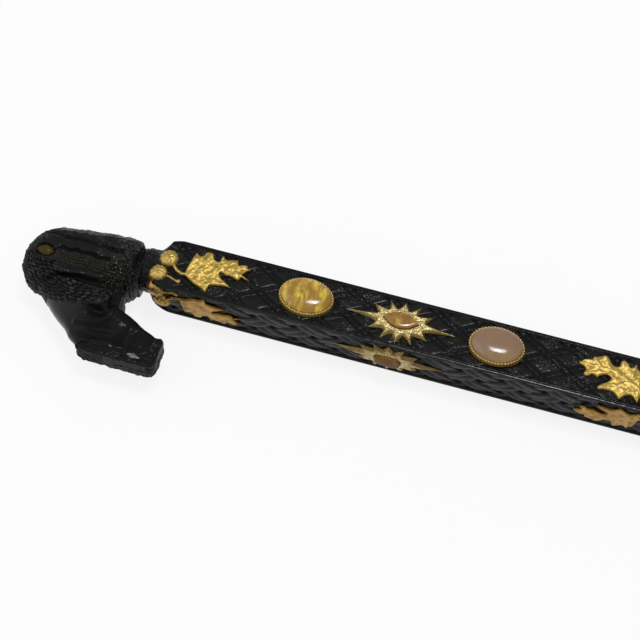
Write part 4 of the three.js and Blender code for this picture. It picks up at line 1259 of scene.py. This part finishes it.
def star_stone_piece(name, turn, jewelled):
    """A polished stone, pointed on the jewelled face and oblong on the others: an upright girdle and a low dome."""
    long, wide = [size - STONE_GAP for size in stone_half_size(jewelled)]
    spin = round_angles(64)
    if jewelled > 0:
        x = long * np.sign(np.cos(spin)) * np.abs(np.cos(spin)) ** 0.9
        y = np.sign(np.sin(spin)) * navette_halfwidth(x, long, wide)
    else:
        x, y = rounded_ring(len(spin), CUSHION_POWER)
        x, y = long * x, wide * y
    drop, blunt = (0.95, 0.5) if jewelled > 0 else (1.1, 0.72)
    high = mm(settings().ornament.cut_height)
    girdle = high - drop
    steps = [(0.0, 1.0), (girdle - 0.3, 1.0)]
    for t in np.linspace(0, math.pi / 2, 14):
        steps.append((girdle + (high - girdle) * math.sin(t) ** 0.75, max(math.cos(t), 0.02) ** blunt))
    points, faces = ring_shell([np.column_stack([x * k, y * k, np.full(len(x), face_level() + h)]) for h, k in steps])
    points[:, 0] += star_middle(jewelled)
    mesh = build_mesh(f"{name}_star_stone_skin", place(face_place(points, turn)), faces)
    finish = "Amber Stone" if name == "top" else "Red Amber Stone"
    add_piece(f"{name}_cut_stone", mesh, finish, "amber_stone", f"{name}_star_stone")


def sprig_place(points, end_side, turn, flip):
    """Points of a sprig, laid out from the head end of the upper face, moved to their own end and face."""
    s = settings().shaft
    start = mm(s.neck_length if end_side > 0 else s.neck_length + s.block_length)
    points = points.copy()
    points[:, 0] = start + end_side * points[:, 0]
    points[:, 1] *= flip
    return face_place(points, turn)


def leaf_piece(name, end_name, end_side, turn, flip, seed):
    """A beaten oak leaf with a ragged edge; those of the plain faces are narrower and flatter, in a browner gilt that
    is darker as painted shade.
    """
    o = settings().ornament
    at_tip, jewelled = end_name == "tip", name == "top"
    long, wide = mm(o.leaf_length), mm(o.leaf_width) / 2 * (1 if jewelled else 0.92)
    inset, level, top = mm(o.leaf_inset) - (2.5 if at_tip and not jewelled else 0), face_level(), mm(o.leaf_height)
    deep, shade = (0.45, 0.5) if jewelled else (0.22, 0.45)
    outline = [(a * long, b * wide) for a, b in (TIP_LEAF if at_tip else HEAD_LEAF)]
    outline = even_outline(soften_outline(outline, 0.14), PLATE_STEP)
    edge = np.array(outline)
    ragged = [(noise(edge + seed * spot, 1.6, draw) - 0.5) * 0.3 for spot, draw in ((13, seed), (17, seed + 3))]
    outline = [(x + a, y + b) for (x, y), a, b in zip(outline, *ragged)]
    veins = [[(a * long, b * wide) for a, b in vein] for vein in (TIP_VEINS if at_tip else HEAD_VEINS)]

    def relief_of(spots):
        """From about -0.5 in the hollows to 0.6 on the crests."""
        bumps = rough_noise(spots + seed * 31, 2.3, seed + 5, 2) - 0.5
        fine = noise(spots + seed * 11, 0.95, seed + 7) - 0.5
        swirl = rough_noise(spots + seed * 7, 3.8, seed + 9, 2) - 0.5
        near = np.min([path_distance(spots, vein) for vein in veins], 0)
        ribs = np.exp(-(near / 0.6) ** 2)
        if at_tip:
            return 0.16 * np.cos(near * 2.4 + 5.0 * swirl) + 1.5 * bumps + 0.35 * fine + 0.22 * ribs
        return 1.9 * bumps + 0.45 * fine + 0.5 * swirl + 0.12 * ribs

    def height_of(spots, depth):
        rounded = np.sqrt(np.clip(1 - (1 - np.clip(depth / 1.2, 0, 1)) ** 2, 0, 1))
        return level + 0.25 + (top - 0.75) * rounded + deep * relief_of(spots) * np.minimum(1, depth / 0.8)

    points, faces = relief_plate(outline, PLATE_STEP, height_of, level - SUNK_FOOT)
    form = relief_of(points[:, :2])
    rim = path_distance(points[:, :2], outline + outline[:1])
    points[:, 0] += inset
    points[:, 1] -= 0 if jewelled else 0.6
    placed = place(sprig_place(points, end_side, turn, flip))
    mesh = build_mesh(f"{name}_{end_name}_leaf_skin", placed, outward(placed, faces))
    paint(mesh, "hollow", np.clip(shade * smoothstep(-0.05, -0.5, form) + 0.55 * smoothstep(0.4, 0.0, rim), 0, 1))
    paint(mesh, "rubbed", shade * smoothstep(0.1, 0.5, form) * smoothstep(0.2, 0.6, rim))
    # The plain faces' leaves take the darker gilt copy, as painted shade.
    finish = "Hammered Gilt" if jewelled else "Aged Gilt"
    add_piece(f"{name}_{end_name}_oak_leaf", mesh, finish, "gilt", f"{name}_{end_name}_leaf")


# An acorn's rings: share of its radius, and height above its widest place in half radii.
ACORN_PROFILE = ((1.0, -2.0), (1.0, -0.9), (1.02, -0.2), (0.99, 0.25), (0.93, 0.62), (0.84, 0.9), (0.72, 1.06),
                 (0.58, 1.18), (0.44, 1.26), (0.3, 1.31), (0.16, 1.34), (0.05, 1.35))
# Each acorn of a sprig: its middle, from the block's end in millimetres, and its radius as a share of acorn_radius.
ACORNS = (((7.2, 2.5), 1.06), ((4.6, -6.2), 1.0))
# The second acorn's twig and the knob at its end, in millimetres.
TWIG = ((7.4, -6.7), (10.2, -7.1), (12.6, -8.0), (15.0, -8.6))
TWIG_KNOB = (15.0, -8.4)


def acorn_skin(radius, crown, seed):
    """A domed acorn in its cup: ribbed crown, rough cup edge with a fringe."""
    spin = round_angles(72)
    rings = []
    for inset, high in ACORN_PROFILE:
        lobes = 1 + 0.035 * np.cos(spin * 11 + seed) * smoothstep(0.4, 1.0, inset)
        lobes = lobes * (1 + 0.16 * np.clip(-np.cos(spin - 0.5), 0, 1) ** 4)
        flat = np.column_stack([np.cos(spin), np.sin(spin)]) * (radius * inset * lobes)[:, None]
        cup = smoothstep(-0.35, 0.25, flat @ np.array([0.75, -0.66]) / radius)
        rough = cup * 0.45 * (lumps(flat + seed * 19, 1.05, seed) - 0.4)
        rough += (1 - cup) * 0.22 * (noise(flat + 9 * seed, 0.9, seed + 2) - 0.5)
        level = crown + (high - 1.35) * radius * 0.5 + rough * smoothstep(1.0, 0.9, inset)
        rings.append(np.column_stack([flat, level]))
    return ring_shell(rings)


def stem_skin(path, width, high, level, seed):
    """A thin twig along a path on the face."""
    line = even_outline(list(path), 0.5)
    line = line[:line.index(path[-1]) + 1]
    left, right = [], []
    for i, (x, y) in enumerate(line):
        ax, ay = line[max(0, i - 1)]
        bx, by = line[min(len(line) - 1, i + 1)]
        norm = math.hypot(bx - ax, by - ay)
        half = width / 2 * (1 + 0.3 * math.sin(i * 1.7 + seed))
        left.append((x - (by - ay) / norm * half, y + (bx - ax) / norm * half))
        right.append((x + (by - ay) / norm * half, y - (bx - ax) / norm * half))
    return relief_plate(left + right[::-1], 0.35, lambda spots, depth: level + 0.2 + np.minimum(high, depth * 1.3),
                        level - SUNK_FOOT)


def acorn_piece(name, end_name, end_side, turn, flip, index, seed):
    """One acorn of a sprig; the second has the twig, which ends in a knob."""
    s, o = settings().shaft, settings().ornament
    spot, size = ACORNS[index]
    points, faces = acorn_skin(mm(o.acorn_radius) * size, mm(s.block_half + o.acorn_height), seed + index)
    points[:, :2] += spot
    if index:
        knob, knob_faces = acorn_skin(1.0, face_level() + 1.1, seed + 4)
        knob[:, :2] += TWIG_KNOB
        for more, more_faces in (stem_skin(TWIG, 1.1, 0.8, face_level(), seed), (knob, knob_faces)):
            faces = faces + [tuple(i + len(points) for i in face) for face in more_faces]
            points = np.concatenate([points, more])
    crests = lumps(points[:, :2] + 5, 1.05, seed)
    placed = place(sprig_place(points, end_side, turn, flip))
    node = f"{name}_{end_name}_acorn_{index + 1}"
    mesh = build_mesh(f"{node}_skin", placed, outward(placed, faces))
    paint(mesh, "hollow", np.clip(0.6 * (1 - crests) ** 2, 0, 1))
    paint(mesh, "rubbed", 0.7 * crests)
    # The plain faces' acorns take the darker gilt copy, as painted shade.
    finish = "Hammered Gilt" if name == "top" else "Aged Gilt"
    add_piece(f"{name}_{end_name}_gilt_acorn_{index + 1}", mesh, finish, "gilt", node)


# ---------------------------------------------------------------- oval stones and their settings

def oval_points(long, wide, count):
    """Evenly spaced points round an oval, and the direction that looks out of it at each."""
    fine = round_angles(2000)
    x, y = long * np.cos(fine), wide * np.sin(fine)
    steps = np.hypot(np.diff(x, append=x[0]), np.diff(y, append=y[0]))
    run = np.concatenate([[0], np.cumsum(steps)])[:-1]
    spin = np.interp(np.arange(count) / count * steps.sum(), run, fine)
    out = np.column_stack([np.cos(spin) / long, np.sin(spin) / wide])
    out /= np.hypot(*out.T)[:, None]
    return np.column_stack([long * np.cos(spin), wide * np.sin(spin)]), out


def bezel_piece(end_name, x):
    """A setting: a wall that leans in over the stone, with a beaded wire round its foot and a scalloped lip."""
    o = settings().ornament
    beads = 46
    count = beads * 8
    line, out = oval_points(mm(o.cabochon_length) / 2, mm(o.cabochon_width) / 2, count)
    level, high, wall = face_level(), mm(o.bezel_height), mm(o.bezel_wall)
    beat = np.abs(np.sin(np.arange(count) / count * beads * math.pi))
    lip = 0.55 + 0.45 * beat ** 0.8
    uneven = 0.12 * (noise(line + 30, 3.0, 131) - 0.5)
    plain, wire, rim = 0, 1, 2
    profile = (
        (wall, -SUNK_FOOT, plain), (wall, 0.1, plain), (wall + 0.06, 0.3, wire), (wall + 0.08, 0.6, wire),
        (wall - 0.05, 0.85, wire), (wall * 0.80, 1.0, plain), (wall * 0.72, high - 0.75, plain),
        (wall * 0.72, high - 0.5, rim), (wall * 0.5, high - 0.1, rim), (wall * 0.1, high, rim),
        (-0.30, high - 0.12, rim), (-0.45, high - 0.5, plain), (-0.3, 0.4, plain), (-0.3, -SUNK_FOOT, plain),
    )
    rings, hollow, rubbed = [], [], []
    for offset, height, kind in profile:
        shift = offset + 0.16 * (beat - 0.6) * (kind == wire) + 0.10 * (lip - 0.8) * (kind == rim)
        lift = height + (0.55 * (lip - 1.0) + uneven) * (kind == rim)
        rings.append(np.column_stack([line + out * shift[:, None], level + lift]))
        hollow.append((0.63 if kind == plain else 0.108) + 0.5 * (1 - beat) * (kind != plain))
        rubbed.append(beat * (kind == rim))
    points, faces = ring_shell(rings, looped=True)
    points[:, 0] += x
    mesh = build_mesh(f"bezel_{end_name}_skin", place(points), faces)
    paint(mesh, "hollow", np.clip(np.concatenate(hollow), 0, 1))
    paint(mesh, "rubbed", np.concatenate(rubbed))
    add_piece(f"beaded_setting_{end_name}", mesh, "Hammered Gilt", "gilt", f"bezel_{end_name}")


def cabochon_piece(end_name, x, finish, slot, flat):
    """A domed oval stone; a smaller flat makes its top flatter and its sides steeper."""
    o = settings().ornament
    level, high, girdle = face_level(), mm(o.cabochon_height), 2.3
    spin = round_angles(96)
    long, wide = mm(o.cabochon_length) / 2 - 0.25, mm(o.cabochon_width) / 2 - 0.25
    oval = np.column_stack([long * np.cos(spin), wide * np.sin(spin)])
    steps = [(1.0, -0.2)]
    for t in np.linspace(0, math.pi / 2, 25):
        steps.append((max(math.cos(t), 0.012) ** flat, girdle + (high - girdle) * math.sin(t) ** flat))
    points, faces = ring_shell([np.column_stack([oval * k, np.full(len(oval), level + h)]) for k, h in steps])
    points[:, 0] += x
    mesh = build_mesh(f"cabochon_{end_name}_skin", place(points), faces)
    add_piece(f"oval_stone_{end_name}", mesh, finish, slot, f"cabochon_{end_name}")


# ---------------------------------------------------------------- ferrule

def ferrule_piece():
    """Rubber ferrule: collar, ribbed neck, flared foot with a ringed sole, and the shaft's socket."""
    low, high = node_box("ferrule")
    start, end, foot = low[0], high[0], (high[2] - low[2]) / 2
    neck = foot * 0.697
    profile = [(end - 9.0, 0.01), (end - 9.0, 8.3), (start + 0.6, 8.3), (start, 8.6), (start, neck - 0.5),
               (start + 0.25, neck - 0.12), (start + 0.7, neck)]
    x = start + 0.7
    while x < start + 10.5:
        x += 0.35
        profile.append((x, neck - 0.55 * (0.5 - 0.5 * math.cos((x - start - 0.7) * 2 * math.pi / 2.45))))
    profile += [(start + 11.2, neck), (start + 11.6, neck - 0.9), (start + 12.4, neck - 0.9), (start + 12.8, neck),
                (start + 18.0, neck)]
    for t in np.arange(13) / 12:
        profile.append((mix(start + 24.0, end - 9.0, t), mix(neck, foot - 0.25, t * t * (3 - 2 * t))))
    for at in end - 7.8 + np.arange(4) * 1.7:
        profile += [(at + on, foot - cut) for on, cut in ((0, 0.02), (0.55, 0), (0.8, 0.5), (1.1, 0.5), (1.35, 0.02))]
    profile += [(end - 0.7, foot), (end - 0.25, foot - 0.3), (end, foot - 1.0)]
    for ring in (13.4, 10.4, 7.4, 4.4):
        profile += [(end, ring + 0.5), (end - 0.9, ring + 0.3), (end - 0.9, ring - 0.3), (end, ring - 0.5)]
    profile += [(end, 0.01)]
    spin = round_angles(120)
    rings = [np.column_stack([np.full(len(spin), x), r * np.cos(spin), r * np.sin(spin)]) for x, r in profile]
    points, faces = ring_shell(rings)
    mesh = build_mesh("ferrule_skin", place(points), faces)
    radius = np.hypot(points[:, 1], points[:, 2])
    in_ring = (points[:, 0] > end - 1.2) & (points[:, 0] < end - 0.5)
    paint(mesh, "hollow", np.where(in_ring, 0.8, 0.25) * (radius > 9))
    add_piece("rubber_ferrule", mesh, "Ferrule Rubber", "rubber", "ferrule")


# ---------------------------------------------------------------- stage

def floor_piece():
    """A pale floor that keeps the soft shadow, and is seen white where none falls."""
    g = settings().stage
    material, tree, shader, where = new_material("Pale Floor", roughness=0.9, Specular_IOR_Level=0.1)
    soft = spread(tree, cloud_texture(tree, where, 14.0, 3.0), 0.3, 0.7)
    feed(tree, shader, Base_Color=blend_colours(tree, soft, g.floor, [c * 0.985 for c in g.floor]))
    rays = add_node(tree, "LightPath").outputs
    seen = calculate(tree, "MAXIMUM", rays["Is Camera Ray"], rays["Is Glossy Ray"])
    seen = calculate(tree, "MAXIMUM", seen, rays["Is Transmission Ray"])
    glow = feed(tree, add_node(tree, "Emission"), Color=(1, 1, 1, 1), Strength=1.0)
    both = add_node(tree, "MixShader")
    for at, value in enumerate((multiply(tree, seen, g.floor_glow), shader.outputs[0], glow.outputs[0])):
        set_input(tree, both.inputs[at], value)
    feed(tree, tree.nodes["Material Output"], Surface=both.outputs[0])
    reach = 6.0
    corners = np.array([(-reach, -reach, 0), (reach, -reach, 0), (reach, reach, 0), (-reach, reach, 0)])
    mesh = build_mesh("floor", corners, [(0, 1, 2, 3)], smooth=False)
    mesh.materials.append(material)
    floor = bpy.data.objects.new("floor", mesh)
    bpy.context.scene.collection.objects.link(floor)


LIT_SPOT = (-0.275, 0.0175, 0.03)  # the place that the lights face, in metres


def area_light(name, toward, distance, along, across, energy):
    """A soft rectangular light over the stones, its first side along the stick."""
    light = bpy.data.lights.new(name, "AREA")
    light.shape, light.size, light.size_y, light.energy = "RECTANGLE", along, across, energy
    lamp = bpy.data.objects.new(name, light)
    back = Vector(toward).normalized()
    side = (Vector((1, 0, 0)) - back * back.x).normalized()
    lamp.rotation_euler = Matrix((side, back.cross(side), back)).transposed().to_euler()
    lamp.location = Vector(LIT_SPOT) + back * distance
    bpy.context.scene.collection.objects.link(lamp)


def light_and_camera():
    g = settings().stage
    scene = bpy.context.scene
    world = bpy.data.worlds.new("Even Sky")
    world.use_nodes = True
    feed(world.node_tree, world.node_tree.nodes["Background"], Color=(1, 1, 1, 1), Strength=g.sky)
    scene.world = world

    window = (0.05, 0.13, 0.99)
    area_light("window_light", window, g.key_distance, g.key_length, g.key_width, g.key_energy)
    area_light("window_middle", window, g.key_distance - 0.01, g.core_size, g.core_size, g.core_energy)
    area_light("side_light", (-0.75, -0.20, 0.63), 1.6, g.fill_size, g.fill_size, g.fill_energy)

    lens = bpy.data.cameras.new("photo_camera")
    lens.lens, lens.sensor_width, lens.sensor_fit = g.lens, 36.0, "HORIZONTAL"
    camera = bpy.data.objects.new("photo_camera", lens)
    level = math.cos(g.elevation)
    away = Vector((math.sin(g.azimuth) * level, -math.cos(g.azimuth) * level, math.sin(g.elevation)))
    camera.location = Vector(g.aim) + away * g.distance
    camera.rotation_euler = (Vector(g.aim) - camera.location).to_track_quat("-Z", "Y").to_euler()
    scene.collection.objects.link(camera)
    scene.camera = camera
    scene.view_settings.view_transform = "Standard"


# ---------------------------------------------------------------- operators

class STICK_OT_stage(bpy.types.Operator):
    """Make the floor, the lights and the camera"""
    bl_idname = "stick.stage"
    bl_label = "Stage"

    def execute(self, context):
        floor_piece()
        light_and_camera()
        return {"FINISHED"}


class STICK_OT_shaft(bpy.types.Operator):
    """Carve the shaft's block and turn its lower run"""
    bl_idname = "stick.shaft"
    bl_label = "Shaft"

    def execute(self, context):
        shaft_piece()
        return {"FINISHED"}


class STICK_OT_handle(bpy.types.Operator):
    """Carve the scaly head, the fluted grip and its rough rim"""
    bl_idname = "stick.handle"
    bl_label = "Handle"

    def execute(self, context):
        handle_piece()
        return {"FINISHED"}


class STICK_OT_eyes(bpy.types.Operator):
    """Set the amber eyes"""
    bl_idname = "stick.eyes"
    bl_label = "Eyes"

    def execute(self, context):
        for node in ("eye_upper", "eye_lower"):
            eye_piece(node)
        return {"FINISHED"}


class STICK_OT_starbursts(bpy.types.Operator):
    """Lay a starburst on every face"""
    bl_idname = "stick.starbursts"
    bl_label = "Starbursts"

    def execute(self, context):
        for name, turn, jewelled in FACES:
            star_piece(name, turn, jewelled)
        return {"FINISHED"}


class STICK_OT_cut_stones(bpy.types.Operator):
    """Set a cut stone in every starburst"""
    bl_idname = "stick.cut_stones"
    bl_label = "Cut stones"

    def execute(self, context):
        for name, turn, jewelled in FACES:
            star_stone_piece(name, turn, jewelled)
        return {"FINISHED"}


class STICK_OT_oval_stones(bpy.types.Operator):
    """Set the two oval stones in their beaded settings"""
    bl_idname = "stick.oval_stones"
    bl_label = "Oval stones"

    def execute(self, context):
        o = settings().ornament
        kinds = {"head": ("Honey Stone", "honey_stone", 0.80), "tip": ("Rose Stone", "rose_stone", 0.84)}
        for end_name, side in ENDS:
            x = star_middle(1) - side * mm(o.cabochon_spacing)
            bezel_piece(end_name, x)
            cabochon_piece(end_name, x, *kinds[end_name])
        return {"FINISHED"}


class STICK_OT_leaves(bpy.types.Operator):
    """Lay an oak leaf at both ends of every face"""
    bl_idname = "stick.leaves"
    bl_label = "Oak leaves"

    def execute(self, context):
        seed = settings().ornament.seed
        for name, turn, flip in FACES:
            for end_name, side in ENDS:
                seed += 20
                leaf_piece(name, end_name, side, turn, flip, seed)
        return {"FINISHED"}


class STICK_OT_acorns(bpy.types.Operator):
    """Set two acorns at both ends of every face"""
    bl_idname = "stick.acorns"
    bl_label = "Acorns"

    def execute(self, context):
        seed = settings().ornament.seed
        for name, turn, flip in FACES:
            for end_name, side in ENDS:
                for index in (0, 1):
                    seed += 10
                    acorn_piece(name, end_name, side, turn, flip, index, seed)
        return {"FINISHED"}


class STICK_OT_ferrule(bpy.types.Operator):
    """Mould the rubber ferrule and finish the steel washer and stud"""
    bl_idname = "stick.ferrule"
    bl_label = "Ferrule"

    def execute(self, context):
        ferrule_piece()
        for node in ("ferrule_washer", "handle_stud"):
            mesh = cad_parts[node].data
            mesh.materials.clear()
            mesh.materials.append(finish_named("Brushed Steel"))
        return {"FINISHED"}


STEPS = (
    STICK_OT_stage, STICK_OT_shaft, STICK_OT_handle, STICK_OT_eyes, STICK_OT_starbursts, STICK_OT_cut_stones,
    STICK_OT_oval_stones, STICK_OT_leaves, STICK_OT_acorns, STICK_OT_ferrule,
)


class CarvedStickSettings(bpy.types.PropertyGroup):
    """Everything that can be set on the stick."""
    shaft: PointerProperty(type=StickShaftSettings)
    handle: PointerProperty(type=StickHandleSettings)
    ornament: PointerProperty(type=StickOrnamentSettings)
    finish: PointerProperty(type=StickFinishSettings)
    stage: PointerProperty(type=StickStageSettings)


class STICK_PT_panel(bpy.types.Panel):
    """The stick's settings and steps"""
    bl_label = "Walking Stick"
    bl_space_type = "VIEW_3D"
    bl_region_type = "UI"
    bl_category = "Walking Stick"

    def draw(self, context):
        whole = context.scene.carved_stick
        for step in STEPS:
            self.layout.operator(step.bl_idname)
        for name in ("shaft", "handle", "ornament", "finish", "stage"):
            group = getattr(whole, name)
            box = self.layout.box()
            box.label(text=name.capitalize())
            for key in group.bl_rna.properties.keys():
                if key not in ("rna_type", "name"):
                    box.prop(group, key)


CLASSES = (
    StickShaftSettings, StickHandleSettings, StickOrnamentSettings, StickFinishSettings, StickStageSettings,
    CarvedStickSettings, *STEPS, STICK_PT_panel,
)


def register():
    for cls in CLASSES:
        bpy.utils.register_class(cls)
    bpy.types.Scene.carved_stick = PointerProperty(type=CarvedStickSettings)


def unregister():
    del bpy.types.Scene.carved_stick
    for cls in reversed(CLASSES):
        bpy.utils.unregister_class(cls)


def main():
    register()
    make_groups()
    for step in STEPS:
        area, action = step.bl_idname.split(".")
        getattr(getattr(bpy.ops, area), action)()


if __name__ == "__main__":
    main()
